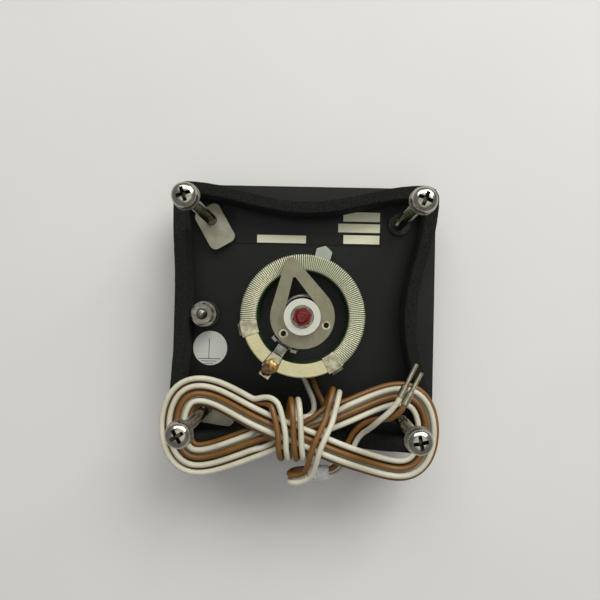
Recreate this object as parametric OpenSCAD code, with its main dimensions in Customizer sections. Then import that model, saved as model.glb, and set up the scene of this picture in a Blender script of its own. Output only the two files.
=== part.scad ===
// Lighting dimmer of a marine compass. A square black front panel lies face down on its
// knob. On its rear stand an open wirewound ring rheostat, an earth stud, a foam gasket,
// four long clamp screws and a hank of two leads that ends in crimped pins.
// The part rests on z = 0, the outer face of the knob, with the shaft on the z axis.

/* [Front panel] */
// Side of the square panel
panel_side = 96; // [92:1:110]
// Thickness of the panel
panel_t = 3; // [2.8:0.2:5]
// Bevel along the front edges of the panel
panel_bevel = 0.6; // [0.2:0.1:1]
// Depth of the blind holes in the rear of the panel
blind_depth = 2.4; // [1.6:0.1:2.6]

/* [Knob] */
// Diameter of the knob
knob_d = 26; // [22:1:34]
// Height of the knob
knob_h = 12; // [10:1:16]
// Gap between the knob and the front of the panel
knob_gap = 1; // [0.5:0.1:2]
// Number of grip flutes round the knob
flute_count = 18; // [12:1:24]
// Diameter of the cutter that makes a flute
flute_d = 2.6; // [1.6:0.1:3]
// Diameter of the recess that clears the panel nut
recess_d = 18.4; // [18:0.2:20]
// Depth of that recess
recess_depth = 4; // [3.6:0.1:5]

/* [Clamp screws] */
// Distance of each clamp screw from the two nearest panel edges
screw_inset = 13.5; // [13:0.25:15]
// Diameter of the screw shank
screw_d = 4; // [3:0.5:4]
// Length of the screw under its head
screw_len = 50; // [40:1:60]
// Diameter of the domed head
head_d = 7.8; // [7:0.1:8.5]
// Height of the domed head
head_h = 2.9; // [2.2:0.1:3.5]
// Width of one slot of the cross recess
cross_w = 0.9; // [0.6:0.1:1.2]
// Length of one slot of the cross recess
cross_len = 4.4; // [3:0.1:5]
// Thickness of the spring lock washer
lock_washer_t = 1; // [0.8:0.1:1.2]
// Thickness of the plain washer
plain_washer_t = 0.8; // [0.5:0.1:1]
// Outer diameter of the threaded bush collar
collar_d = 8; // [7:0.1:9]
// Height of that collar above the panel
collar_h = 1.2; // [0.8:0.1:2]

/* [Clamp claws] */
// Width of a claw
claw_w = 10; // [8:0.5:10]
// Length of a claw
claw_len = 15.6; // [13:0.2:16]
// Thickness of a claw
claw_t = 2.2; // [1.6:0.1:3]
// Radius of its corners
claw_corner_r = 2.4; // [1:0.1:3]
// Angle of the upper claw at rest
upper_claw_angle = -60; // [-75:1:-45]
// Angle of the lower claw at rest
lower_claw_angle = -8; // [-10:1:20]

/* [Foam gasket] */
// Thickness of the foam strip
foam_t = 5; // [4:0.1:5.4]
// Height of the foam strip above the panel
foam_h = 11.5; // [9:0.5:13]
// Distance from the panel edge to the strip at the corners
foam_inset = 0.9; // [0.5:0.1:1]
// Radius of the strip's outer corners
foam_corner_r = 5; // [3:0.5:6]
// Inward bow of the left run
foam_left_bow = 1.7; // [0:0.1:3]
// Inward bow of the top run
foam_top_bow = 6.2; // [4:0.1:7]
// Inward bow of the right run
foam_right_bow = 7; // [4:0.1:8]
// Inward bow of the bottom run
foam_bottom_bow = 2.6; // [0:0.1:3]

/* [Plate and earth disc] */
// Gap between the blank type plate and the upper left bush
plate_left_gap = 4.8; // [2:0.2:8]
// Gap between the plate and the upper right bush
plate_right_gap = 1.8; // [1:0.2:4]
// Height of the blank type plate
plate_h = 13.8; // [12:0.2:14]
// Distance from the top edge of the panel down to the plate's lower edge
plate_drop = 21.5; // [21:0.1:22]
// Thickness of the plate
plate_t = 0.3; // [0.2:0.1:0.5]
// Diameter of the white earth disc
disc_d = 12.6; // [11:0.1:13]
// Distance from the left edge of the panel to the disc's middle
disc_inset = 13.8; // [13.6:0.1:15]
// Distance of the disc's middle below the earth stud
disc_drop = 12.6; // [11.5:0.1:14]

/* [Earth stud] */
// Distance from the left edge of the panel to the stud
stud_inset = 12.4; // [12:0.1:14]
// Place of the stud up the panel
stud_y = 0; // [-1:0.1:1]
// Diameter of the stud
stud_d = 4; // [3:0.5:5]
// Height of the stud above the panel
stud_h = 12.2; // [12:0.2:16]
// Width of the earth nuts across their flats
earth_nut_af = 7; // [5.5:0.5:7]
// Thickness of an earth nut
earth_nut_t = 3.2; // [2.4:0.1:3.4]
// Outer diameter of the earth washers
earth_washer_d = 9; // [7:0.1:9]

/* [Rheostat] */
// Outer diameter of the wound ring
ring_d = 40.4; // [39:0.2:41]
// Radial width of the ring
ring_w = 4.5; // [3.6:0.1:5]
// Height of the ring's underside above the panel
ring_low = 7; // [6.6:0.1:9]
// Height of the ring
ring_h = 16; // [13:0.5:18]
// Diameter of the base under the ring
base_d = 24; // [22:0.5:25]
// Thickness of the base flange that carries the ring
flange_t = 1.8; // [1.4:0.1:2.2]
// Angle where the winding starts, at the right end terminal
wire_from_angle = -56; // [-60:1:-50]
// Angle where the winding ends, at the left end terminal
wire_to_angle = 193; // [188:1:198]
// Angle of the centre terminal
centre_angle = 238; // [234:1:242]
// Width of a terminal band along the ring
band_w = 4.8; // [4:0.1:5.2]
// Thickness of the terminal bands
band_t = 0.5; // [0.4:0.05:0.6]
// Number of turns of resistance wire
turns = 84; // [70:1:86]
// Width of the square resistance wire
wire_w = 0.3; // [0.2:0.05:0.3]
// Diameter of the hub bush thread
bush_d = 10; // [9:0.5:10]
// Diameter of the shaft
shaft_d = 6; // [5:0.5:6.4]

/* [Wiper] */
// Angle of the wiper at rest
wiper_angle = 103; // [80:1:120]
// Radius of the round end of the teardrop arm
arm_r = 10.5; // [10:0.1:11]
// Radius of its tip
tip_r = 2; // [1.6:0.1:2.4]
// Distance from the shaft to the middle of the tip
tip_reach = 17.7; // [17:0.1:18]
// Thickness of the arm
arm_t = 0.8; // [0.6:0.1:1]
// Gap between the top of the ring and the underside of the arm
arm_gap = 2.4; // [2.2:0.1:4]
// Diameter of the white hub boss
boss_d = 11.8; // [11:0.1:12]
// Diameter of the recess in the hub boss
boss_recess_d = 7.5; // [7.2:0.1:8]
// Radius on which the two eyelets sit
eyelet_r = 8.2; // [8.1:0.1:8.4]
// Outer diameter of the eyelet barrels
eyelet_d = 2.3; // [2:0.1:2.4]
// Number of curls of the contact spring
spring_curls = 5; // [4:1:6]
// Diameter of the spring wire
spring_wire = 0.9; // [0.7:0.1:1]

/* [Leads] */
// Outer diameter of a lead
lead_d = 1.9; // [1.5:0.1:1.9]
// Length of the crimped pins
pin_len = 12; // [10:0.5:14]
// Diameter of the crimped pins
pin_d = 1.5; // [1:0.1:1.9]

/* [Hidden] */

// Fine facet counts: all of them stand for true curves
round_fn = 64;
hole_fn = 48;

// Small running clearance and the overrun of every cut
fit = 0.1;
over = 0.5;

// Levels
front_z = knob_h + knob_gap;
rear_z = front_z + panel_t;
collar_top = rear_z + collar_h;
claw_z = collar_top + fit;
ring_z = rear_z + ring_low;
ring_top = ring_z + ring_h;
arm_z = ring_top + arm_gap;
arm_top = arm_z + arm_t;

// Places round the panel
screw_x = panel_side / 2 - screw_inset;
corners = [[-screw_x, screw_x], [screw_x, screw_x], [screw_x, -screw_x], [-screw_x, -screw_x]];
head_z = rear_z - blind_depth + screw_len;
insert_d = collar_d * 0.75;
stud_x = stud_inset - panel_side / 2;
disc_x = disc_inset - panel_side / 2;
disc_y = stud_y - disc_drop;
plate_low = panel_side / 2 - plate_drop;
plate_x = (plate_left_gap - plate_right_gap) / 2;
plate_w = 2 * screw_x - collar_d - plate_left_gap - plate_right_gap;

// Ring radii
ring_ro = ring_d / 2;
ring_ri = ring_ro - ring_w;
track_r = ring_ro - ring_w / 2;
band_deg = band_w / track_r * 180 / PI;

// One flat ring with a bore
module washer(d, bore, t) {
    difference() {
        cylinder(h = t, d = d, $fn = round_fn);
        translate([0, 0, -over]) cylinder(h = t + 2 * over, d = bore, $fn = hole_fn);
    }
}

// Hexagonal nut with chamfered corners and a bore
module hex_nut(af, t, bore) {
    corner_d = af / cos(30);
    chamfer = (corner_d - af) / 2;
    difference() {
        intersection() {
            cylinder(h = t, d = corner_d, $fn = 6);
            rotate_extrude($fn = round_fn)
                polygon([[0, 0], [corner_d / 2 - chamfer, 0], [corner_d / 2, chamfer],
                    [corner_d / 2, t - chamfer], [corner_d / 2 - chamfer, t], [0, t]]);
        }
        translate([0, 0, -over]) cylinder(h = t + 2 * over, d = bore, $fn = hole_fn);
    }
}

// Rectangle with round corners, from its lower left corner
module round_rect(size, r) {
    translate([r, 0]) square([size[0] - 2 * r, size[1]]);
    translate([0, r]) square([size[0], size[1] - 2 * r]);
    for (x = [r, size[0] - r])
        for (y = [r, size[1] - r])
            translate([x, y]) circle(r = r, $fn = hole_fn);
}

// Outline of a teardrop from a large circle to a small one at a distance along x
teardrop_steps = 32;
function teardrop(big_r, small_r, reach) = let (lean = acos((big_r - small_r) / reach)) concat(
    [for (i = [0:teardrop_steps]) let (a = -lean + 2 * lean * i / teardrop_steps)
        [reach + small_r * cos(a), small_r * sin(a)]],
    [for (i = [0:teardrop_steps]) let (a = lean + (360 - 2 * lean) * i / teardrop_steps)
        [big_r * cos(a), big_r * sin(a)]]);

// Part of a ring between two angles, from a profile drawn in radius and height
module arc_of(from, to) {
    rotate([0, 0, from]) rotate_extrude(angle = to - from, $fn = round_fn) children();
}

// Front panel

// A wedge that takes the bevel off one front edge
module edge_wedge() {
    translate([-panel_side / 2 - over, -panel_side / 2, front_z])
        rotate([0, 90, 0]) linear_extrude(panel_side + 2 * over)
            polygon([[over, -over], [over, panel_bevel + over], [-panel_bevel - over, -over]]);
}

module front_panel() {
    color([0.09, 0.09, 0.1]) difference() {
        translate([-panel_side / 2, -panel_side / 2, front_z])
            cube([panel_side, panel_side, panel_t]);
        for (a = [0:90:270])
            rotate([0, 0, a]) edge_wedge();
        translate([0, 0, front_z - over])
            cylinder(h = panel_t + 2 * over, d = bush_d + fit, $fn = round_fn);
        for (c = corners)
            translate([c[0], c[1], rear_z - blind_depth])
                cylinder(h = blind_depth + over, d = insert_d, $fn = hole_fn);
        translate([stud_x, stud_y, rear_z - blind_depth])
            cylinder(h = blind_depth + over, d = stud_d, $fn = hole_fn);
        translate([pillar_x, pillar_y, rear_z - blind_depth])
            cylinder(h = blind_depth + over, d = pillar_spigot_d, $fn = hole_fn);
    }
}

// Threaded bushes pressed into the corners, each with a collar that carries a claw
module threaded_bushes() {
    color([0.62, 0.6, 0.55]) for (c = corners)
        translate([c[0], c[1], rear_z]) difference() {
            union() {
                translate([0, 0, -blind_depth]) cylinder(h = blind_depth, d = insert_d, $fn = hole_fn);
                cylinder(h = collar_h, d = collar_d, $fn = hole_fn);
            }
            translate([0, 0, -blind_depth])
                cylinder(h = blind_depth + collar_h + over, d = screw_d, $fn = hole_fn);
        }
}

// Foam gasket: one strip on edge, bowed inwards along each run

foam_low = -panel_side / 2 + foam_inset;
foam_steps = 14;
foam_corner_steps = 6;

// Corner radius and half length of a run for a strip face that lies in by some depth
function corner_r(depth) = max(foam_corner_r - depth, foam_corner_r * 0.3);
function run_reach(depth) = -foam_low - depth - corner_r(depth);

// Points of one run, seen as the lower one, of a strip face that lies in by some depth
function run_points(bow, depth) = [for (i = [0:foam_steps])
    let (x = run_reach(depth) * (2 * i / foam_steps - 1))
    [x, foam_low + depth + bow * (1 + cos(180 * x / run_reach(0))) / 2]];

// Points round the corner that follows that run
function corner_points(depth) = [for (i = [1:foam_corner_steps - 1])
    let (turn = -90 + 90 * i / foam_corner_steps)
    [run_reach(depth) + corner_r(depth) * cos(turn), -run_reach(depth) + corner_r(depth) * sin(turn)]];

function turned(points, angle) = [for (p = points)
    [p[0] * cos(angle) - p[1] * sin(angle), p[0] * sin(angle) + p[1] * cos(angle)]];

function foam_outline(depth) = [for (side = [0:3])
    each turned(concat(run_points([foam_bottom_bow, foam_right_bow, foam_top_bow,
        foam_left_bow][side], depth), corner_points(depth)), 90 * side)];

module foam_gasket() {
    color([0.13, 0.13, 0.13]) difference() {
        translate([0, 0, rear_z]) linear_extrude(foam_h) polygon(foam_outline(0));
        translate([0, 0, rear_z - over]) linear_extrude(foam_h + 2 * over) polygon(foam_outline(foam_t));
        translate([plate_x - plate_w / 2 - fit, plate_low - fit, rear_z - over])
            cube([plate_w + 2 * fit, plate_h + 2 * fit, over + plate_t + fit]);
    }
}

// Plate, earth disc and earth stud

module type_plate() {
    color([0.12, 0.12, 0.12]) translate([plate_x - plate_w / 2, plate_low, rear_z])
        linear_extrude(plate_t) round_rect([plate_w, plate_h], plate_t);
}

module earth_disc() {
    color([0.95, 0.95, 0.95]) translate([disc_x, disc_y, rear_z])
        cylinder(h = plate_t, d = disc_d, $fn = round_fn);
}

earth_washer_t = plain_washer_t;
lower_nut_z = rear_z + earth_washer_t;
upper_washer_z = lower_nut_z + earth_nut_t;
upper_nut_z = rear_z + stud_h - earth_nut_t - stud_d * 0.25;

module earth_stud() {
    tip = stud_d * 0.15;
    color([0.75, 0.75, 0.72]) translate([stud_x, stud_y, rear_z]) {
        translate([0, 0, -blind_depth])
            cylinder(h = blind_depth + stud_h - tip, d = stud_d, $fn = hole_fn);
        translate([0, 0, stud_h - tip]) rotate_extrude($fn = hole_fn)
            polygon([[0, 0], [stud_d / 2, 0], [stud_d / 2 - tip, tip], [0, tip]]);
    }
}

module earth_nuts() {
    color([0.75, 0.75, 0.72]) {
        translate([stud_x, stud_y, lower_nut_z]) rotate([0, 0, 10])
            hex_nut(earth_nut_af, earth_nut_t, stud_d);
        translate([stud_x, stud_y, upper_nut_z]) rotate([0, 0, 22])
            hex_nut(earth_nut_af, earth_nut_t, stud_d);
    }
}

module earth_washers() {
    gap_h = upper_nut_z - upper_washer_z;
    color([0.8, 0.8, 0.78]) {
        translate([stud_x, stud_y, rear_z])
            washer(earth_washer_d, stud_d + 2 * fit, earth_washer_t);
        translate([stud_x, stud_y, upper_washer_z])
            washer(earth_washer_d, stud_d + 2 * fit, gap_h * 0.3);
        translate([stud_x, stud_y, upper_washer_z + gap_h * 0.3])
            washer(earth_washer_d * 0.85, stud_d + 2 * fit, gap_h * 0.4);
        translate([stud_x, stud_y, upper_washer_z + gap_h * 0.7])
            washer(earth_washer_d, stud_d + 2 * fit, gap_h * 0.3);
    }
}

// Nylon pillar beside the ring
pillar_x = 6.8;
pillar_drop = 4.1;
pillar_y = plate_low - pillar_drop;
pillar_af = 5.8;
pillar_h = 4.6;
pillar_spigot_d = 3;

module nylon_pillar() {
    color([0.72, 0.8, 0.82]) translate([pillar_x, pillar_y, rear_z]) {
        rotate([0, 0, 17]) hex_nut_blank(pillar_af, pillar_h);
        translate([0, 0, -blind_depth])
            cylinder(h = blind_depth + pillar_h / 2, d = pillar_spigot_d, $fn = hole_fn);
    }
}

// Solid hexagon with chamfered corners
module hex_nut_blank(af, t) {
    corner_d = af / cos(30);
    chamfer = (corner_d - af) / 2;
    intersection() {
        cylinder(h = t, d = corner_d, $fn = 6);
        rotate_extrude($fn = round_fn)
            polygon([[0, 0], [corner_d / 2 - chamfer, 0], [corner_d / 2, chamfer],
                [corner_d / 2, t - chamfer], [corner_d / 2 - chamfer, t], [0, t]]);
    }
}

// Clamp screws with their captive washers

// Domed head with a cross recess, from the underside up
module pan_head() {
    rim_h = head_h * 0.35;
    dome_h = head_h - rim_h;
    dome_r = (head_d * head_d / 4 + dome_h * dome_h) / (2 * dome_h);
    difference() {
        union() {
            cylinder(h = rim_h, d = head_d, $fn = round_fn);
            intersection() {
                translate([0, 0, head_h - dome_r]) sphere(r = dome_r, $fn = round_fn);
                translate([0, 0, rim_h]) cylinder(h = dome_h + over, d = head_d, $fn = round_fn);
            }
        }
        for (a = [0, 90])
            rotate([0, 0, a]) translate([-cross_len / 2, -cross_w / 2, head_h * 0.4])
                cube([cross_len, cross_w, head_h]);
    }
}

module clamp_screws() {
    color([0.8, 0.79, 0.76]) for (i = [0:3])
        translate([corners[i][0], corners[i][1], head_z]) {
            translate([0, 0, -screw_len]) cylinder(h = screw_len, d = screw_d, $fn = hole_fn);
            rotate([0, 0, cross_angles[i]]) pan_head();
        }
}

// Spring washer: a flat ring with one slanting split
module lock_washers() {
    lock_d = head_d * 0.98;
    color([0.7, 0.7, 0.68]) for (i = [0:3])
        translate([corners[i][0], corners[i][1], head_z - lock_washer_t]) difference() {
            washer(lock_d, screw_d + 2 * fit, lock_washer_t);
            rotate([0, 0, split_angles[i]]) translate([0, -cross_w / 2, -over])
                cube([lock_d, cross_w, lock_washer_t + 2 * over]);
        }
}

module plain_washers() {
    color([0.78, 0.78, 0.76]) for (c = corners)
        translate([c[0], c[1], head_z - lock_washer_t - plain_washer_t])
            washer(head_d * 1.06, screw_d + 2 * fit, plain_washer_t);
}

// How far each screw has been turned, and where its lock washer is split
cross_angles = [20, -22, 12, 32];
split_angles = [-100, 160, 70, -20];

// A claw: a plate with round corners that swivels on its screw
module claw(c, angle) {
    near = claw_w / 2;
    translate([c[0], c[1], claw_z]) rotate([0, 0, angle]) difference() {
        translate([-near, -claw_w / 2, 0])
            linear_extrude(claw_t) round_rect([claw_len, claw_w], claw_corner_r);
        translate([0, 0, -over]) cylinder(h = claw_t + 2 * over, d = screw_d + 2 * fit, $fn = hole_fn);
    }
}

module upper_claw() {
    color([0.86, 0.85, 0.8]) claw(corners[0], upper_claw_angle);
}

module lower_claw() {
    color([0.86, 0.85, 0.8]) claw(corners[3], lower_claw_angle);
}

// Rheostat: fixed pieces

wire_room = wire_w * 1.5;
flange_z = ring_z - wire_room - flange_t;
wall_gap = fit / 2;
lug_reach = 2.1;
lead_rise = 3;
lead_z = rear_z + lead_rise;
tag_h = lead_d + 4 * fit;
tag_low = lead_z - tag_h / 2;
tag_r = ring_ro - band_w * 0.55;
bridge_h = ring_h * 0.1;
bush_head_d = bush_d * 1.3;
bush_head_t = band_t * 4;
bush_washer_t = plain_washer_t;
bush_nut_t = lock_washer_t * 2.4;
spring_seat_z = ring_z + bush_head_t;
strap_t = band_t;

module rheostat_base() {
    color([0.2, 0.2, 0.19]) difference() {
        union() {
            translate([0, 0, rear_z]) cylinder(h = ring_z - rear_z, d = base_d, $fn = round_fn);
            translate([0, 0, flange_z]) cylinder(h = flange_t, r = ring_ro - band_t, $fn = round_fn);
            arc_of(wire_to_angle + band_deg, 360 + wire_from_angle - band_deg)
                translate([ring_ri, ring_z - flange_t / 2]) square([ring_w - 2 * band_t, flange_t / 2]);
        }
        translate([0, 0, rear_z - over])
            cylinder(h = ring_z - rear_z + 2 * over, d = bush_d + fit, $fn = round_fn);
    }
}

// Core of the ring: full height where it is wound, and lower under the bridges
module ring_core() {
    color([0.1, 0.32, 0.17]) difference() {
        rotate_extrude($fn = 2 * round_fn) translate([ring_ri, ring_z]) square([ring_w, ring_h]);
        arc_of(wire_to_angle, 360 + wire_from_angle) translate([ring_ri - over, ring_top - bridge_h])
            square([ring_w + 2 * over, bridge_h + over]);
    }
}

// Smooth cream segments between the terminals, over the unwound part of the core
module ring_bridges() {
    half = band_deg / 2;
    low = ring_top - bridge_h;
    edge = ring_w * 0.08;
    color([0.9, 0.87, 0.72])
        for (span = [[wire_to_angle + half, centre_angle - half],
                [centre_angle + half, 360 + wire_from_angle - half]])
            arc_of(span[0] + bridge_gap_angle, span[1] - bridge_gap_angle)
                polygon([[ring_ri, low], [ring_ro, low], [ring_ro, ring_top],
                    [ring_ro - edge, ring_top + edge], [ring_ri + edge, ring_top + edge],
                    [ring_ri, ring_top]]);
}

bridge_gap_angle = 0.3;

// Profile of a band that straps over the ring, in radius and height
module band_profile(inner_low, outer_low) {
    polygon([[ring_ri - wall_gap - band_t, inner_low], [ring_ri - wall_gap, inner_low],
        [ring_ri - wall_gap, ring_top + edge_clear], [ring_ro + wall_gap, ring_top + edge_clear],
        [ring_ro + wall_gap, outer_low], [ring_ro + wall_gap + band_t, outer_low],
        [ring_ro + wall_gap + band_t, ring_top + edge_clear + band_t],
        [ring_ri - wall_gap - band_t, ring_top + edge_clear + band_t]]);
}
edge_clear = 0.05;

// A strap over the ring at one angle, with a lug that stands out from the wall and slopes down
module terminal(angle, width, inner_low, outer_low, lug_z, lug_len, lug_drop) {
    deg = width / track_r * 180 / PI;
    lug_w = width * 0.86;
    wall_r = ring_ro + wall_gap + band_t / 2;
    arc_of(angle - deg / 2, angle + deg / 2) band_profile(inner_low, outer_low);
    rotate([0, 0, angle]) translate([0, lug_w / 2, 0]) rotate([90, 0, 0]) linear_extrude(lug_w)
        polygon([[wall_r, lug_z], [wall_r + lug_len, lug_z - lug_drop],
            [wall_r + lug_len, lug_z - lug_drop + band_t], [wall_r, lug_z + band_t]]);
}

// Tag at the foot of a strap: it turns in under the ring, and the end of a lead meets its face
module tag(angle, face_y, side) {
    rotate([0, 0, angle]) translate([tag_r - tag_h / 2, face_y - (side > 0 ? band_t : 0), tag_low])
        cube([ring_ro + wall_gap + band_t / 2 - tag_r + tag_h / 2, band_t, tag_h]);
}

module right_end_terminal() {
    color([0.85, 0.84, 0.76]) {
        terminal(wire_from_angle, band_w, ring_z + ring_h * 0.5, tag_low, ring_z + ring_h * 0.55,
            lug_reach, lug_reach * 0.6);
        tag(wire_from_angle, brown_face_y, -1);
    }
}

module left_end_terminal() {
    color([0.85, 0.84, 0.76]) terminal(wire_to_angle, band_w, ring_z + ring_h * 0.5, ring_z + ring_h * 0.3,
        ring_z + ring_h * 0.55, lug_reach, lug_reach * 0.6);
}

module centre_terminal() {
    color([0.8, 0.77, 0.6]) {
        terminal(centre_angle, band_w * 0.9, ring_z + ring_h * 0.4, tag_low, ring_z + ring_h * 0.72,
            lug_reach * 1.75, 0);
        tag(centre_angle, white_face_y, 1);
    }
}
white_face_y = 0.6;
brown_face_y = -1.2;

// Solder on the lug of the centre terminal
module solder_joint() {
    lug_z = ring_z + ring_h * 0.72 + band_t;
    blob_r = band_w * 0.36;
    color([0.6, 0.45, 0.12]) rotate([0, 0, centre_angle])
        translate([ring_ro + band_t + wall_gap + blob_r, 0, lug_z]) intersection() {
            sphere(r = blob_r, $fn = hole_fn);
            translate([-blob_r, -blob_r, 0]) cube([2 * blob_r, 2 * blob_r, blob_r]);
        }
}

// Strap from the seat of the contact spring to the centre terminal
module collector_strap() {
    strap_w = band_w * 0.75;
    rise_r = ring_ri - band_w * 0.75;
    reach = ring_ri - wall_gap - band_t - fit;
    high = ring_z + ring_h * 0.75;
    color([0.66, 0.65, 0.62]) {
        translate([0, 0, spring_seat_z]) washer(bush_head_d + band_w * 0.6, shaft_d + 6 * fit, strap_t);
        rotate([0, 0, centre_angle]) {
            translate([bush_head_d / 2, -strap_w / 2, spring_seat_z])
                cube([rise_r - bush_head_d / 2 + strap_t, strap_w, strap_t]);
            translate([rise_r, -strap_w / 2, spring_seat_z]) cube([strap_t, strap_w, high - spring_seat_z]);
            translate([rise_r, -strap_w / 2, high - strap_t]) cube([reach - rise_r, strap_w, strap_t]);
        }
    }
}

// Fixed bracket: an upright on either side of the collector strap, on one foot
module stop_bracket() {
    stop_r = ring_ri - band_w * 0.9;
    stop_high = ring_z + ring_h * 0.78;
    half = stop_angle / 2;
    color([0.62, 0.62, 0.6]) {
        for (a = [centre_angle - half + stop_margin_angle,
                centre_angle + half - upright_angle - stop_margin_angle])
            arc_of(a, a + upright_angle) translate([stop_r + strap_t / 2, ring_z + strap_t])
                square([strap_t * 2, stop_high - ring_z - strap_t]);
        arc_of(centre_angle - half, centre_angle + half)
            translate([stop_r, ring_z]) square([strap_t * 3, strap_t * 2]);
    }
}
stop_angle = 48;
upright_angle = 9;
stop_margin_angle = 1;

// Threaded hub bush: head inside the ring, thread through base and panel
module hub_bush() {
    color([0.75, 0.6, 0.3]) difference() {
        union() {
            translate([0, 0, ring_z]) cylinder(h = bush_head_t, d = bush_head_d, $fn = round_fn);
            translate([0, 0, front_z - bush_washer_t - bush_nut_t])
                cylinder(h = ring_z - front_z + bush_washer_t + bush_nut_t + fit, d = bush_d, $fn = round_fn);
        }
        translate([0, 0, 0]) cylinder(h = ring_top, d = shaft_d + 2 * fit, $fn = hole_fn);
    }
}

module bush_washer() {
    color([0.75, 0.75, 0.73]) translate([0, 0, front_z - bush_washer_t])
        washer(recess_d * 0.87, bush_d + 2 * fit, bush_washer_t);
}

module bush_nut() {
    color([0.75, 0.75, 0.73]) translate([0, 0, front_z - bush_washer_t - bush_nut_t])
        hex_nut(bush_d * 1.4, bush_nut_t, bush_d);
}

// Rheostat: turning pieces

hub_washer_t = 0.5;
hub_nut_t = 2.4;
boss_flange_t = 1.6;
boss_low = arm_z - boss_flange_t;
boss_rise = 3.4;
boss_top = arm_top + boss_rise;
boss_floor = boss_top - hub_nut_t * 0.62;
stud_end_d = shaft_d / 2;

module control_shaft() {
    shaft_low = knob_cap_t + fit;
    color([0.7, 0.7, 0.68]) {
        difference() {
            translate([0, 0, shaft_low]) cylinder(h = boss_floor - shaft_low, d = shaft_d, $fn = hole_fn);
            translate([shaft_d / 2 - shaft_flat, -shaft_d / 2, 0])
                cube([shaft_d, shaft_d, front_z - bush_washer_t - bush_nut_t - fit]);
        }
        translate([0, 0, boss_floor - fit])
            cylinder(h = hub_washer_t + hub_nut_t + 5 * fit, d = stud_end_d, $fn = hole_fn);
    }
}
shaft_flat = 1;
knob_cap_t = 1;

// Hub of the wiper: a boss through the arm, and a flange under its round end
module wiper_hub() {
    flange_r = arm_r * 0.93;
    color([0.93, 0.93, 0.9]) difference() {
        union() {
            translate([0, 0, boss_low]) cylinder(h = boss_top - boss_low, d = boss_d, $fn = round_fn);
            translate([0, 0, boss_low]) difference() {
                cylinder(h = boss_flange_t, r = flange_r, $fn = round_fn);
                rotate([0, 0, wiper_angle]) translate([boss_d / 4, -flange_r - over, -over])
                    cube([flange_r + over, 2 * (flange_r + over), boss_flange_t + 2 * over]);
            }
        }
        translate([0, 0, boss_low - over]) cylinder(h = boss_top, d = shaft_d, $fn = hole_fn);
        translate([0, 0, boss_floor]) cylinder(h = boss_top, d = boss_recess_d, $fn = hole_fn);
        for (p = eyelet_places)
            translate([p[0], p[1], boss_low - over])
                cylinder(h = boss_flange_t + 2 * over, d = eyelet_d, $fn = hole_fn);
    }
}

// Eyelet places, turned with the wiper
eyelet_places = [for (a = [wiper_angle + 120, wiper_angle - 121.5]) [eyelet_r * cos(a), eyelet_r * sin(a)]];

// Teardrop arm, open over the spring, with the boss and two eyelets through it
module wiper_arm() {
    hole_r = boss_d / 2 + fit;
    hole_tip_r = tip_r * 0.3;
    hole_reach = tip_reach * 0.71;
    color([0.74, 0.72, 0.66]) difference() {
        translate([0, 0, arm_z]) rotate([0, 0, wiper_angle]) linear_extrude(arm_t)
            polygon(teardrop(arm_r, tip_r, tip_reach));
        translate([0, 0, arm_z - over]) rotate([0, 0, wiper_angle]) linear_extrude(arm_t + 2 * over)
            polygon(teardrop(hole_r, hole_tip_r, hole_reach));
        for (p = eyelet_places)
            translate([p[0], p[1], arm_z - over])
                cylinder(h = arm_t + 2 * over, d = eyelet_d, $fn = hole_fn);
    }
}

eyelet_rim_t = arm_t * 0.3;

module arm_eyelets() {
    rim_d = eyelet_d * 1.26;
    color([0.7, 0.68, 0.62]) for (p = eyelet_places)
        translate([p[0], p[1], 0]) difference() {
            union() {
                translate([0, 0, boss_low]) cylinder(h = arm_top - boss_low, d = eyelet_d, $fn = hole_fn);
                translate([0, 0, arm_top]) cylinder(h = eyelet_rim_t, d = rim_d, $fn = hole_fn);
                translate([0, 0, boss_low - eyelet_rim_t])
                    cylinder(h = eyelet_rim_t, d = rim_d, $fn = hole_fn);
            }
            translate([0, 0, boss_low - eyelet_rim_t - over])
                cylinder(h = arm_top - boss_low + 2 * (eyelet_rim_t + over), d = eyelet_d * 0.8, $fn = hole_fn);
        }
}

// Contact brush under the tip, just clear of the bands that it passes over
module contact_brush() {
    brush_low = ring_top + edge_clear + band_t + fit;
    color([0.45, 0.33, 0.22]) rotate([0, 0, wiper_angle]) translate([tip_reach, 0, brush_low])
        cylinder(h = arm_z - brush_low, d = tip_r * 1.5, $fn = hole_fn);
}

module hub_washer() {
    color([0.72, 0.72, 0.7]) translate([0, 0, boss_floor])
        washer(boss_recess_d - 2 * fit, stud_end_d + fit, hub_washer_t);
}

// Nut on the shaft's end, sealed with red lacquer
module hub_nut() {
    color([0.7, 0.1, 0.08]) translate([0, 0, boss_floor + hub_washer_t]) rotate([0, 0, 14])
        hex_nut(stud_end_d * 1.83, hub_nut_t, stud_end_d);
}

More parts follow.
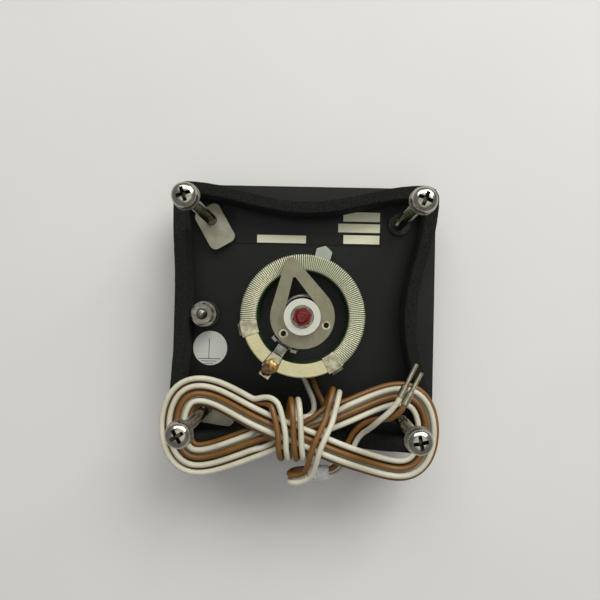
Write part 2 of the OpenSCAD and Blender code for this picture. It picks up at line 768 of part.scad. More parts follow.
// Knob: fluted grip with a flange, a recess over the panel nut and a pointer line
module knob() {
    skirt_h = knob_h * 0.2;
    grip_d = knob_d * 0.9;
    bore_top = knob_h - recess_depth;
    color([0.08, 0.08, 0.085]) difference() {
        rotate_extrude($fn = 2 * round_fn) polygon([[0, 0], [grip_d / 2 - knob_cap_t, 0],
            [grip_d / 2, knob_cap_t], [grip_d / 2 + fit, knob_h - skirt_h], [knob_d / 2, knob_h - skirt_h],
            [knob_d / 2, knob_h], [0, knob_h]]);
        for (i = [0:flute_count - 1])
            rotate([0, 0, 360 * i / flute_count]) translate([grip_d / 2 + flute_d * 0.28, 0, -over])
                cylinder(h = knob_h - skirt_h - flute_d / 2 + over, d = flute_d, $fn = hole_fn);
        translate([0, 0, bore_top]) cylinder(h = recess_depth + over, d = recess_d, $fn = round_fn);
        difference() {
            translate([0, 0, knob_cap_t]) cylinder(h = bore_top, d = shaft_d + fit, $fn = hole_fn);
            translate([shaft_d / 2 - shaft_flat + fit / 2, -shaft_d, 0]) cube([shaft_d, 2 * shaft_d, knob_h]);
        }
        translate([0, 0, -over]) cylinder(h = knob_cap_t + over, d = cap_d + fit, $fn = round_fn);
        translate([0, 0, knob_screw_z]) rotate([0, 90, 0])
            cylinder(h = knob_d, d = knob_screw_d, $fn = hole_fn);
        rotate([0, 0, wiper_angle]) translate([cap_d / 2 + knob_cap_t, -cross_w / 2, -over])
            cube([knob_d, cross_w, over + cross_w / 3]);
    }
}
cap_d = knob_d * 0.6;
knob_screw_d = 3;
knob_screw_z = knob_h * 0.42;

// Set screw that bears on the flat of the shaft
module knob_screw() {
    start = shaft_d / 2 - shaft_flat;
    end = knob_d * 0.4;
    color([0.5, 0.5, 0.5]) translate([start, 0, knob_screw_z]) rotate([0, 90, 0]) difference() {
        cylinder(h = end - start, d = knob_screw_d, $fn = hole_fn);
        translate([-knob_screw_d / 2, -cross_w / 4, end - start - cross_w])
            cube([knob_screw_d, cross_w / 2, cross_w + over]);
    }
}

module knob_cap() {
    color([0.75, 0.75, 0.76]) cylinder(h = knob_cap_t, d = cap_d, $fn = round_fn);
}

// Wound forms

function unit(v) = v / norm(v);

// Least distance from a point to the piece of line between two others
function line_gap(p, a, b) = let (ab = b - a, t = min(1, max(0, (p - a) * ab / (ab * ab))))
    norm(p - a - ab * t);

// Least gap of a tube to itself, leaving out points that lie near each other along it
function least_gap(points, d, skip) = min([for (i = [0:len(points) - 2])
    for (j = [i + skip:1:len(points) - 2]) line_gap(points[i], points[j], points[j + 1])]) - d;

// Triangles that join rings of points into one closed skin
function skin_faces(rings, sides) = concat(
    [for (j = [1:sides - 2]) [0, j + 1, j]],
    [for (i = [0:rings - 2]) for (j = [0:sides - 1]) each
        let (a = i * sides + j, b = i * sides + (j + 1) % sides)
        [[a, b, b + sides], [a, b + sides, a + sides]]],
    [for (j = [1:sides - 2]) let (last = (rings - 1) * sides) [last, last + j, last + j + 1]]);

// Tangents of a path, and normals carried along it without twist
function tangents(points) = [for (i = [0:len(points) - 1])
    unit(points[min(i + 1, len(points) - 1)] - points[max(i - 1, 0)])];
function carried(n, t) = unit(n - (n * t) * t);
function normals(ts, first) = [for (i = 0, n = carried(first, ts[0]); i < len(ts);
    i = i + 1, n = carried(n, ts[min(i, len(ts) - 1)])) n];

// One unbroken round tube along a path, or along a stretch of it
module tube(points, d, sides, from = 0, to = -1) {
    last = to < 0 ? len(points) - 1 : to;
    ts = tangents(points);
    ns = normals(ts, [0, 0, 1]);
    vertices = [for (i = [from:last]) let (n = ns[i], b = cross(ts[i], n))
        for (j = [0:sides - 1]) points[i] + (n * cos(360 * j / sides) + b * sin(360 * j / sides)) * d / 2];
    polyhedron(vertices, skin_faces(last - from + 1, sides));
}

// Resistance wire: one strand wound square round the core, radial over the top
wound_margin = 1.5 * band_deg / 2;
wire_lift = edge_clear + wire_w / 2;
wire_corners = [[ring_ro + wire_lift, ring_z - wire_lift, 1, -1],
    [ring_ro + wire_lift, ring_top + wire_lift, 1, 1],
    [ring_ri - wire_lift, ring_top + wire_lift, -1, 1], [ring_ri - wire_lift, ring_z - wire_lift, -1, -1]];
wire_start = wire_from_angle + wound_margin;
wire_step = (wire_to_angle - wire_from_angle - 2 * wound_margin) / (turns - 1);
function round_place(r, a, z) = [r * cos(a), r * sin(a), z];
wire_path = [for (i = [0:turns - 1]) for (c = wire_corners)
    round_place(c[0], wire_start + i * wire_step, c[1])];

module resistance_winding() {
    half = wire_w / 2;
    vertices = [for (i = [0:turns - 1]) for (c = wire_corners)
        for (s = [[1, -1], [1, 1], [-1, 1], [-1, -1]])
            let (r = c[0] + s[0] * c[2] * half, z = c[1] + s[0] * c[3] * half)
            round_place(r, wire_start + i * wire_step + s[1] * half / r * 180 / PI, z)];
    echo(winding_gap = least_gap(wire_path, wire_w, 4));
    color([0.78, 0.77, 0.72]) polyhedron(vertices, skin_faces(4 * turns, 4));
}

// Contact spring between the collector strap and the hub flange
spring_r = boss_d / 2 + spring_wire * 1.1;
spring_rings = 8;
spring_low = spring_seat_z + strap_t + spring_wire / 2 + fit / 2;
spring_high = boss_low - eyelet_rim_t - fit - spring_wire / 2;
spring_path = [for (i = [0:spring_curls * spring_rings])
    let (along = i / spring_rings, climb = min(1, max(0, (along - 0.75) / (spring_curls - 1.5))))
    [spring_r * cos(360 * along), spring_r * sin(360 * along),
        spring_low + (spring_high - spring_low) * climb]];

module contact_spring() {
    echo(spring_gap = least_gap(spring_path, spring_wire, spring_rings - 2));
    color([0.6, 0.6, 0.58]) tube(spring_path, spring_wire, 6);
}

// Leads: both run side by side from the terminals into a hank of eights, twice round its
// waist, over it, through a sleeve and on to the pins

// One step of the route tables, and heights over the panel in the same steps
panel_side_shares = 96;
route = panel_side / panel_side_shares;
lead_pitch = lead_d * 1.36;
half_pair = lead_d * 0.64;
hank_per_loop = 24;
hank_from = 0.06;
hank_steps = 81;
lobe_x_share = 43.4;
lobe_y_share = 11.8;
waist_shares = [-0.4, -38.5];
low_share = 12.8;
under_share = 15.3;
cross_share = 19.9;

function smooth(t) = let (u = min(1, max(0, t))) u * u * (3 - 2 * u);
function lobe(tau) = [waist_shares[0] - lobe_x_share * sin(360 * tau),
    waist_shares[1] - lobe_y_share * (sin(720 * tau) - 0.15 * sin(1440 * tau))] * route;

// A point of the hank at a count of loops, for the brown lead (0) or the white one (1)
function hank_point(tau, w) = let (
    ends = smooth((abs(sin(360 * tau)) - 0.25) / 0.5),
    d = unit(lobe(tau + 0.0001) - lobe(tau - 0.0001)),
    offset = (2 * tau - 4.5 + w) * lead_pitch / 2,
    over_run = floor(2 * tau + 0.5) % 2 == 1,
    share = (over_run ? cross_share : under_share) * (1 - ends) + low_share * ends,
    p = lobe(tau))
    [p[0] - d[1] * offset, p[1] + d[0] * offset, rear_z + share * route + lead_d * 1.18 * w];

// Smooth curve through rows, with a count of points for each span
function spline(rows, n) = let (m = len(rows)) [for (i = [0:m - 1]) for (k = [0:i < m - 1 ? n - 1 : 0])
    let (t = k / n, a = i > 0 ? rows[i - 1] : 2 * rows[0] - rows[1], b = rows[i],
        c = i < m - 1 ? rows[i + 1] : b, d = i < m - 2 ? rows[i + 2] : 2 * c - b)
    (2 * b + (c - a) * t + (2 * a - 5 * b + 4 * c - d) * t * t + (3 * b - a - 3 * c + d) * t * t * t) / 2];

function placed(rows) = [for (r = rows) [r[0] * route, r[1] * route, rear_z + r[2] * route]];

// Rows of the free runs at the terminals
white_in_shares = [[-2.6, -19.1, 3], [-0.4, -21, 3.2], [1.3, -23.6, 3.8], [2.7, -26.6, 5.2],
    [4.2, -29.8, 7.4], [4.5, -33, 9.2], [2.2, -35.2, 10], [-2, -35.7, 10.2], [-6, -35.8, 10.2],
    [-8.8, -36, 10.8], [-11.2, -36.6, 12.8], [-13.6, -37.8, 15.1], [-15.7, -39.2, 16.7]];
brown_in_shares = [[4.4, -18.8, 3], [3.9, -20.6, 3.4], [4.1, -22.6, 4], [5.4, -26.2, 6], [7.5, -30, 8.1],
    [8.2, -33.6, 9.3], [6, -36.8, 9.9], [1.6, -38.3, 10.2], [-3, -38.5, 10.2], [-7, -38.5, 10.2],
    [-10, -38.6, 10.4], [-12.8, -38.8, 11.5], [-15.6, -39.3, 13.1]];

// Rows of the pair after the hank: place and sideways direction of the white lead
peel_shares = [[-12, -28.2, 21.3, 0, 1, 0.5], [-8.4, -29.4, 23.6, 0.6, 0.8, 0]];
cross_over_shares = [[2.6, -43.2, 12.8, 0.9, -0.3, 0], [5.2, -39.6, 12.8, 0.85, -0.5, 0],
    [7.6, -35.4, 12.5, 0.85, -0.5, 0], [9.5, -31.2, 12.2, 0.88, -0.45, 0],
    [10.7, -27.8, 12.8, 0.9, -0.4, 0], [11.6, -25.6, 14.9, 0.9, -0.4, 0], [11.9, -24.8, 17.3, 0.9, -0.4, 0],
    [11.6, -25.6, 19.7, 0.9, -0.4, 0], [10.9, -28.2, 21.5, 0.9, -0.45, 0], [10.1, -31.2, 22.4, 0.88, -0.47, 0],
    [9.2, -34.4, 23.5, 0.88, -0.47, 0], [7.3, -38.6, 24.8, 0.9, -0.4, 0], [5.6, -42.6, 25, 0.92, -0.4, 0],
    [4.6, -46.4, 24.2, 0.95, -0.3, 0], [3.8, -49.8, 22.6, 0.85, -0.5, 0], [2.6, -52.4, 21.1, 0.5, -0.9, 0],
    [0.2, -54, 19.9, 0.1, -1, 0], [-2.4, -54.6, 18.5, 0, -1, 0], [-3.4, -54.7, 16, 0, -1, 0],
    [-2.2, -54.4, 13.3, 0, -1, 0], [0.6, -54.1, 12.1, 0, -1, 0]];
sleeve_shares = [[3.4, -54, 12], [9.6, -54, 12]];
up_shares = [[12.2, -53.2, 12, 0.4, -0.9, 0], [14.4, -51, 12.4, 0.75, -0.65, 0], [15.8, -48, 12.8, 0.9, -0.4, 0],
    [17.2, -44.6, 12.9, 0.92, -0.35, 0], [18.7, -41.2, 13.4, 0.9, -0.45, 0], [20.8, -38.2, 15.2, 0.8, -0.55, 0.3],
    [23.4, -35.9, 17.9, 0.4, -0.4, 0.8], [26, -34.1, 20.4, 0, 0, 1], [28.4, -32.6, 22.3, -0.5, 0.5, 0.7],
    [30.4, -30.8, 23.5, -0.8, 0.6, 0.2]];
pin_end_shares = [[32.4, -25.4, 24.4], [33.8, -28, 24]];
pin_angles = [65, 63];

// Two turns of the pair round the waist of the hank
wrap_shares = [-6, -37.8, 18.65];
wrap_half_shares = [9.8, 6.1];
wrap_steps = 16;
function bulge(v) = sign(v) * pow(abs(v), 3 / 4);
wraps = [for (i = [0:1:wrap_steps * 1.34]) let (t = i / wrap_steps)
    [wrap_shares[0] + 2 * t * lead_pitch / route, wrap_shares[1] - wrap_half_shares[0] * bulge(sin(360 * t)),
        wrap_shares[2] + wrap_half_shares[1] * bulge(cos(360 * t)), 1, 0, 0]];

// The pair's middle line and its sideways directions
pair_shares = concat(peel_shares, wraps, cross_over_shares,
    [for (r = sleeve_shares) concat(r, [0, -1, 0])], up_shares);
hank_end = hank_from + hank_steps / hank_per_loop;
pair_lead = [for (k = [1, 0]) let (tau = hank_end - k / hank_per_loop,
    brown = hank_point(tau, 0), white = hank_point(tau, 1)) (brown + white) / 2];
pair_side = let (brown = hank_point(hank_end, 0), white = hank_point(hank_end, 1)) unit(white - brown);
pair_middle = spline(concat(pair_lead, placed(pair_shares)), 2);
pair_sides = spline(concat([pair_side, pair_side], [for (r = pair_shares) unit([r[3], r[4], r[5]])]), 2);
pair_tangents = tangents(pair_middle);

function after_hank(sign) = [for (i = [3:len(pair_middle) - 1])
    pair_middle[i] + carried(pair_sides[i], pair_tangents[i]) * sign * half_pair];

function pin_heading(w) = [cos(pin_angles[w]), sin(pin_angles[w]), 0];
pin_ends = placed(pin_end_shares);

// The whole path of a lead, and the counts of points that part its stretches
function lead_start(angle, face_y, side) = let (
    p = turned([[tag_r, face_y], [tag_r, face_y + side * lead_d * 1.5]], angle))
    [[p[0][0], p[0][1], lead_z], [p[1][0], p[1][1], lead_z]];
function lead_path(start, in_rows, w, sign, pin) = let (
    rows = concat(start, placed(in_rows),
        [hank_point(hank_from, w), hank_point(hank_from + 1 / hank_per_loop, w)]),
    lead_in = spline(rows, 2), after = after_hank(sign),
    end = [after[len(after) - 2], after[len(after) - 1],
        pin_ends[pin] - pin_heading(pin) * lead_d, pin_ends[pin]],
    close = spline(end, 2))
    concat([for (i = [0:2 * len(rows) - 5]) lead_in[i]],
        [for (i = [0:hank_steps]) hank_point(hank_from + i / hank_per_loop, w)],
        after, [for (i = [3:len(close) - 1]) close[i]]);

white_path = lead_path(lead_start(centre_angle, white_face_y, 1), white_in_shares, 1, 1, 0);
brown_path = lead_path(lead_start(wire_from_angle, brown_face_y, -1), brown_in_shares, 0, -1, 1);
hank_first = 2 * (len(white_in_shares) + 2);
tail_first = len(white_path) - 2 * len(up_shares) - 5;

module white_lead_in() {
    echo(white_gap = least_gap(white_path, lead_d, 8));
    color([0.93, 0.93, 0.9]) tube(white_path, lead_d, 6, 0, hank_first);
}

module white_hank() {
    echo(between_leads = pair_gap());
    color([0.93, 0.93, 0.9]) tube(white_path, lead_d, 6, hank_first, tail_first);
}

module white_tail() {
    color([0.93, 0.93, 0.9]) tube(white_path, lead_d, 6, tail_first);
}

module brown_lead_in() {
    echo(brown_gap = least_gap(brown_path, lead_d, 8));
    color([0.36, 0.2, 0.12]) tube(brown_path, lead_d, 6, 0, hank_first);
}

module brown_hank() {
    color([0.36, 0.2, 0.12]) tube(brown_path, lead_d, 6, hank_first, tail_first);
}

module brown_tail() {
    color([0.36, 0.2, 0.12]) tube(brown_path, lead_d, 6, tail_first);
}

// Least gap between the two leads
function pair_gap() = min([for (p = white_path) for (j = [0:len(brown_path) - 2])
    line_gap(p, brown_path[j], brown_path[j + 1])]) - lead_d;

// Crimped pin: a barrel that meets the lead's end, and a plain pin
module crimp_pin(w) {
    barrel_d = lead_d * 1.3;
    barrel_len = pin_len * 0.35;
    color([0.8, 0.8, 0.78]) translate(pin_ends[w]) rotate([0, 0, pin_angles[w]]) rotate([0, 90, 0]) {
        cylinder(h = barrel_len, d = barrel_d, $fn = hole_fn);
        cylinder(h = pin_len, d = pin_d, $fn = hole_fn);
    }
}

module white_pin() {
    crimp_pin(0);
}

module brown_pin() {
    crimp_pin(1);
}

// Flat clear tube that holds both leads side by side
module clear_sleeve() {
    ends = placed(sleeve_shares);
    wall = lead_d / 4;
    inset = lead_d / 4;
    len = ends[1][0] - ends[0][0] + 2 * inset;
    color([0.85, 0.86, 0.84]) translate(ends[0] - [inset, 0, 0]) rotate([90, 0, 90]) difference() {
        linear_extrude(len) stadium(half_pair, lead_d / 2 + fit / 2 + wall);
        translate([0, 0, -over]) linear_extrude(len + 2 * over) stadium(half_pair, lead_d / 2 + fit / 2);
    }
}

module stadium(half, r) {
    translate([-half, -r]) square([2 * half, 2 * r]);
    for (x = [-half, half])
        translate([x, 0]) circle(r = r, $fn = hole_fn);
}

front_panel();
threaded_bushes();
foam_gasket();
type_plate();
earth_disc();
earth_stud();
earth_nuts();
earth_washers();
nylon_pillar();
clamp_screws();
lock_washers();
plain_washers();
upper_claw();
lower_claw();
rheostat_base();
ring_core();
resistance_winding();
ring_bridges();
right_end_terminal();
left_end_terminal();
centre_terminal();
solder_joint();
collector_strap();
stop_bracket();
hub_bush();
bush_washer();
bush_nut();
control_shaft();
contact_spring();
wiper_hub();
wiper_arm();
arm_eyelets();
contact_brush();
hub_washer();
hub_nut();
knob();
knob_screw();
knob_cap();
white_lead_in();
white_hank();
white_tail();
brown_lead_in();
brown_hank();
brown_tail();
white_pin();
brown_pin();
clear_sleeve();
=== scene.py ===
"""Looks of the lighting dimmer of a marine compass, lying face down on its knob."""

import math

import bmesh
import bpy
import numpy as np
from mathutils import Matrix, Vector


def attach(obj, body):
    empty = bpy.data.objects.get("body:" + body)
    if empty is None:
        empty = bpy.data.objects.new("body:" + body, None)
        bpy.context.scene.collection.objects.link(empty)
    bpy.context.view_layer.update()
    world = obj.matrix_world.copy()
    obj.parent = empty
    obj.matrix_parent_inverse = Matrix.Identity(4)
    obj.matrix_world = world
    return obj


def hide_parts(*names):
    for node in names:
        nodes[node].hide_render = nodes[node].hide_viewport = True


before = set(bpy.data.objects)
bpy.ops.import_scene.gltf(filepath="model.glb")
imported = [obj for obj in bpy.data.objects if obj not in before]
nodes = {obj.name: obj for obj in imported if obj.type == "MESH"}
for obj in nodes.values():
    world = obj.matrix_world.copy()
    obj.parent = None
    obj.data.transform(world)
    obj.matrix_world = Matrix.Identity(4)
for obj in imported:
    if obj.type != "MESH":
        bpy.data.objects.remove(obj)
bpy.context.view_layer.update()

# Sizes in millimetres that several pieces share, as in the part's source
MM = 0.001
REAR = 16.0
SCREW = 34.5
SCREW_LOW = REAR - 2.4
HEAD_LOW = SCREW_LOW + 50
STUD_X = -35.6
RING_RO, RING_RI, RING_LOW, RING_TOP = 20.2, 15.7, REAR + 7, REAR + 23
BAND_W = 4.8
CENTRE_ANGLE, RIGHT_ANGLE = 238, -56


# Camera: the photograph was taken from about 213 mm over the panel, with a wide lens

def leaned(x, y, z):
    """A turn about x, then y, then z, in radians."""
    return Matrix.Rotation(z, 4, "Z") @ Matrix.Rotation(y, 4, "Y") @ Matrix.Rotation(x, 4, "X")


camera_data = bpy.data.cameras.new("camera")
camera_data.sensor_width = 36
camera_data.lens = 34.56
camera_data.clip_start = 0.01
camera = bpy.data.objects.new("camera", camera_data)
bpy.context.scene.collection.objects.link(camera)
camera_at = Vector((2.679, 1.877, 229.02)) * MM
camera.matrix_world = Matrix.Translation(camera_at) @ leaned(0.01933, 0.01871, 0.02315)
bpy.context.scene.camera = camera


# Meshes

def piece(name, vertices, faces, smooth=True, scale=MM):
    """A mesh object from points in millimetres, with its normals outwards."""
    mesh = bpy.data.meshes.new(name)
    mesh.from_pydata([tuple(c * scale for c in v) for v in vertices], [], faces)
    made = bmesh.new()
    made.from_mesh(mesh)
    bmesh.ops.remove_doubles(made, verts=made.verts, dist=1e-7)
    bmesh.ops.recalc_face_normals(made, faces=made.faces)
    made.to_mesh(mesh)
    made.free()
    mesh.polygons.foreach_set("use_smooth", [smooth] * len(mesh.polygons))
    thing = bpy.data.objects.new(name, mesh)
    bpy.context.scene.collection.objects.link(thing)
    return thing


def merged(name, things):
    """One object from several, each with its place in its mesh."""
    made = bmesh.new()
    for thing in things:
        made.from_mesh(thing.data)
    mesh = bpy.data.meshes.new(name)
    made.to_mesh(mesh)
    made.free()
    for thing in things:
        bpy.data.objects.remove(thing)
    result = bpy.data.objects.new(name, mesh)
    bpy.context.scene.collection.objects.link(result)
    return result


def creased(thing, degrees=35):
    """Smooth shading that keeps the edges sharper than an angle."""
    made = bmesh.new()
    made.from_mesh(thing.data)
    for edge in made.edges:
        edge.smooth = len(edge.link_faces) == 2 and edge.calc_face_angle(0) < math.radians(degrees)
    for face in made.faces:
        face.smooth = True
    made.to_mesh(thing.data)
    made.free()
    return thing


def finished(thing):
    """Applies what modifiers a piece has."""
    bpy.context.view_layer.update()
    graph = bpy.context.evaluated_depsgraph_get()
    mesh = bpy.data.meshes.new_from_object(thing.evaluated_get(graph))
    thing.modifiers.clear()
    thing.data = mesh
    return thing


def lathed(name, profile, place, sides=64, smooth=True):
    """A closed shape turned round an upright axis, from radius and height pairs."""
    vertices, faces = [], []
    for r, z in profile:
        for k in range(sides):
            a = 2 * math.pi * k / sides
            vertices.append((place[0] + r * math.cos(a), place[1] + r * math.sin(a), place[2] + z))
    for i in range(len(profile) - 1):
        for k in range(sides):
            a, b = i * sides + k, i * sides + (k + 1) % sides
            faces.append((a, b, b + sides, a + sides))
    if profile[0][0] > 0:
        faces.append(tuple(range(sides))[::-1])
    if profile[-1][0] > 0:
        faces.append(tuple((len(profile) - 1) * sides + k for k in range(sides)))
    return piece(name, vertices, faces, smooth)


def slab(name, outline, low, high, smooth=False):
    """A flat plate from an outline of points."""
    n = len(outline)
    vertices = [(x, y, low) for x, y in outline] + [(x, y, high) for x, y in outline]
    faces = [tuple(range(n))[::-1], tuple(range(n, 2 * n))]
    faces += [(i, (i + 1) % n, n + (i + 1) % n, n + i) for i in range(n)]
    return piece(name, vertices, faces, smooth)


def threaded(name, r, pitch, low, high, place, sides=20, chamfer=0.4):
    """A threaded rod: rings whose radius follows the helix."""
    depth = pitch * 0.55
    steps = int((high - low) / pitch * 4)
    vertices, faces = [], []
    for i in range(steps + 1):
        z = low + (high - low) * i / steps
        end = min(1.0, (z - low) / chamfer, (high - z) / chamfer)
        for k in range(sides):
            turn_share = (z / pitch - k / sides) % 1
            groove = abs(2 * turn_share - 1)
            radius = (r - depth * groove) * (0.86 + 0.14 * end)
            a = 2 * math.pi * k / sides
            vertices.append((place[0] + radius * math.cos(a), place[1] + radius * math.sin(a), z))
    for i in range(steps):
        for k in range(sides):
            a, b = i * sides + k, i * sides + (k + 1) % sides
            faces.append((a, b, b + sides, a + sides))
    faces.append(tuple(range(sides))[::-1])
    faces.append(tuple(steps * sides + k for k in range(sides)))
    return piece(name, vertices, faces)


def curve_points(rows, n):
    """Smooth curve through rows, with n points for each span."""
    rows = [np.array(r, float) for r in rows]
    points = []
    for i in range(len(rows)):
        b = rows[i]
        a = rows[i - 1] if i else 2 * rows[0] - rows[1]
        c = rows[i + 1] if i + 1 < len(rows) else b
        d = rows[i + 2] if i + 2 < len(rows) else 2 * c - b
        for k in range(n if i + 1 < len(rows) else 1):
            t = k / n
            points.append((2 * b + (c - a) * t + (2 * a - 5 * b + 4 * c - d) * t ** 2
                           + (3 * b - a - 3 * c + d) * t ** 3) / 2)
    return np.array(points)


def tube(name, points, r, sides):
    """A round tube with closed ends along points in millimetres."""
    points = np.array(points, float)
    tangents = np.gradient(points, axis=0)
    tangents /= np.linalg.norm(tangents, axis=1)[:, None]
    n = np.array((0.0, 0.0, 1.0)) if abs(tangents[0][2]) < 0.9 else np.array((1.0, 0.0, 0.0))
    vertices, faces = [], []
    for p, t in zip(points, tangents):
        n = n - n.dot(t) * t
        n /= np.linalg.norm(n)
        b = np.cross(t, n)
        for k in range(sides):
            a = 2 * math.pi * k / sides
            vertices.append(tuple(p + (n * math.cos(a) + b * math.sin(a)) * r))
    count = len(points)
    for i in range(count - 1):
        for k in range(sides):
            a, b = i * sides + k, i * sides + (k + 1) % sides
            faces.append((a, b, b + sides, a + sides))
    faces.append(tuple(range(sides))[::-1])
    faces.append(tuple((count - 1) * sides + k for k in range(sides)))
    return piece(name, vertices, faces)


# Routes of the two leads: the hank of eights and the free runs, as in the part's source

LEAD_D = 1.9
LEAD_PITCH = LEAD_D * 1.36
HALF_PAIR = LEAD_D * 0.64
HALF_LAYER = LEAD_D * 0.59
LOOP_POINTS = 24
HANK_FROM = 0.06
HANK_STEPS = 81
LOBE = (43.4, 11.8)
WAIST = (-0.4, -38.5)
LOW, UNDER, CROSS = 12.8, 15.3, 19.9

# Rows of one lead: place, with the height over the rear face
WHITE_IN = [
    (-2.6, -19.1, 3), (-0.4, -21, 3.2), (1.3, -23.6, 3.8), (2.7, -26.6, 5.2), (4.2, -29.8, 7.4),
    (4.5, -33, 9.2), (2.2, -35.2, 10), (-2, -35.7, 10.2), (-6, -35.8, 10.2), (-8.8, -36, 10.8),
    (-11.2, -36.6, 12.8), (-13.6, -37.8, 15.1), (-15.7, -39.2, 16.7)]
BROWN_IN = [
    (4.4, -18.8, 3), (3.9, -20.6, 3.4), (4.1, -22.6, 4), (5.4, -26.2, 6), (7.5, -30, 8.1),
    (8.2, -33.6, 9.3), (6, -36.8, 9.9), (1.6, -38.3, 10.2), (-3, -38.5, 10.2), (-7, -38.5, 10.2),
    (-10, -38.6, 10.4), (-12.8, -38.8, 11.5), (-15.6, -39.3, 13.1)]
# Rows of the pair: place, and the way from one lead to the other
PEEL = [
    (-12, -28.2, 21.3, 0, 1, 0.5), (-8.4, -29.4, 23.6, 0.6, 0.8, 0)]
CROSS_OVER = [
    (2.6, -43.2, 12.8, 0.9, -0.3, 0), (5.2, -39.6, 12.8, 0.85, -0.5, 0),
    (7.6, -35.4, 12.5, 0.85, -0.5, 0), (9.5, -31.2, 12.2, 0.88, -0.45, 0),
    (10.7, -27.8, 12.8, 0.9, -0.4, 0), (11.6, -25.6, 14.9, 0.9, -0.4, 0),
    (11.9, -24.8, 17.3, 0.9, -0.4, 0), (11.6, -25.6, 19.7, 0.9, -0.4, 0),
    (10.9, -28.2, 21.5, 0.9, -0.45, 0), (10.1, -31.2, 22.4, 0.88, -0.47, 0),
    (9.2, -34.4, 23.5, 0.88, -0.47, 0), (7.3, -38.6, 24.8, 0.9, -0.4, 0),
    (5.6, -42.6, 25, 0.92, -0.4, 0), (4.6, -46.4, 24.2, 0.95, -0.3, 0),
    (3.8, -49.8, 22.6, 0.85, -0.5, 0), (2.6, -52.4, 21.1, 0.5, -0.9, 0),
    (0.2, -54, 19.9, 0.1, -1, 0), (-2.4, -54.6, 18.5, 0, -1, 0), (-3.4, -54.7, 16, 0, -1, 0),
    (-2.2, -54.4, 13.3, 0, -1, 0), (0.6, -54.1, 12.1, 0, -1, 0)]
SLEEVE = [
    (3.4, -54, 12, 0, -1, 0), (9.6, -54, 12, 0, -1, 0)]
UP = [
    (12.2, -53.2, 12, 0.4, -0.9, 0), (14.4, -51, 12.4, 0.75, -0.65, 0),
    (15.8, -48, 12.8, 0.9, -0.4, 0), (17.2, -44.6, 12.9, 0.92, -0.35, 0),
    (18.7, -41.2, 13.4, 0.9, -0.45, 0), (20.8, -38.2, 15.2, 0.8, -0.55, 0.3),
    (23.4, -35.9, 17.9, 0.4, -0.4, 0.8), (26, -34.1, 20.4, 0, 0, 1),
    (28.4, -32.6, 22.3, -0.5, 0.5, 0.7), (30.4, -30.8, 23.5, -0.8, 0.6, 0.2)]
PIN_ENDS = [(32.4, -25.4, 24.4), (33.8, -28, 24)]
PIN_ANGLES = [65, 63]
WRAP = (-6, -37.8, 18.65)
WRAP_HALF = (9.8, 6.1)
WRAP_POINTS = 16
WRAP_TURNS = 1.34
SWAPS = (0.965, 2.035)
SWAP_SPAN = 0.056


def unit(v):
    """The direction of a vector."""
    v = np.array(v, float)
    return v / np.linalg.norm(v)


def lobe(tau):
    """The middle line of the hank, an eight seen from above, at a count of loops."""
    a = 2 * math.pi * tau
    return np.array((WAIST[0] - LOBE[0] * math.sin(a),
                     WAIST[1] - LOBE[1] * (math.sin(2 * a) - 0.15 * math.sin(4 * a))))


def step(tau, middle):
    """Even change from 0 to 1 on a short way through the waist of the hank."""
    t = min(1, max(0, (tau - middle) / SWAP_SPAN + 0.5))
    return t * t * (3 - 2 * t)


def hank_point(tau, w):
    """A point of the hank at a count of loops, for the brown lead (0) or the white one (1).

    The two leads change places under the ties, so that the middle loops show brown on top.
    """
    share = min(1, max(0, (abs(math.sin(2 * math.pi * tau)) - 0.25) / 0.5))
    ends = share * share * (3 - 2 * share)
    d = unit(lobe(tau + 0.0001) - lobe(tau - 0.0001))
    offset = (2 * tau - 4.5) * LEAD_PITCH / 2
    over_run = math.floor(2 * tau + 0.5) % 2 == 1
    h = (CROSS if over_run else UNDER) * (1 - ends) + LOW * ends
    p = lobe(tau)
    lower = np.array((p[0] - d[1] * offset, p[1] + d[0] * offset, REAR + h))
    across = np.array((-d[1], d[0], 0)) * LEAD_PITCH / 4
    lift = np.array((0, 0, HALF_LAYER))
    swap = math.pi * (step(tau, SWAPS[0]) - step(tau, SWAPS[1]))
    away = across * math.cos(swap) + unit(across) * HALF_LAYER * math.sin(swap)
    raise_by = lift * math.cos(swap) - np.array((0, 0, LEAD_PITCH / 4)) * math.sin(swap)
    return lower + across + lift + (away + raise_by) * (1 if w else -1)


def raised(rows):
    """Points from rows whose heights are given over the rear face."""
    return [np.array((r[0], r[1], REAR + r[2])) for r in rows]


def bulge(v):
    """Blunts a circle, so that the ties lie flat over the hank."""
    return math.copysign(abs(v) ** 0.75, v)


def wraps():
    """Rows of the pair where it ties the waist of the hank."""
    rows = []
    for i in range(int(WRAP_POINTS * WRAP_TURNS) + 1):
        t = i / WRAP_POINTS
        a = 2 * math.pi * t
        rows.append((WRAP[0] + 2 * t * LEAD_PITCH, WRAP[1] - WRAP_HALF[0] * bulge(math.sin(a)),
                     WRAP[2] + WRAP_HALF[1] * bulge(math.cos(a)), 1, 0, 0))
    return rows


def turned(x, y, degrees):
    """A point at a terminal on the ring, at the height of its tag."""
    a = math.radians(degrees)
    return np.array((x * math.cos(a) - y * math.sin(a), x * math.sin(a) + y * math.cos(a), REAR + 3))


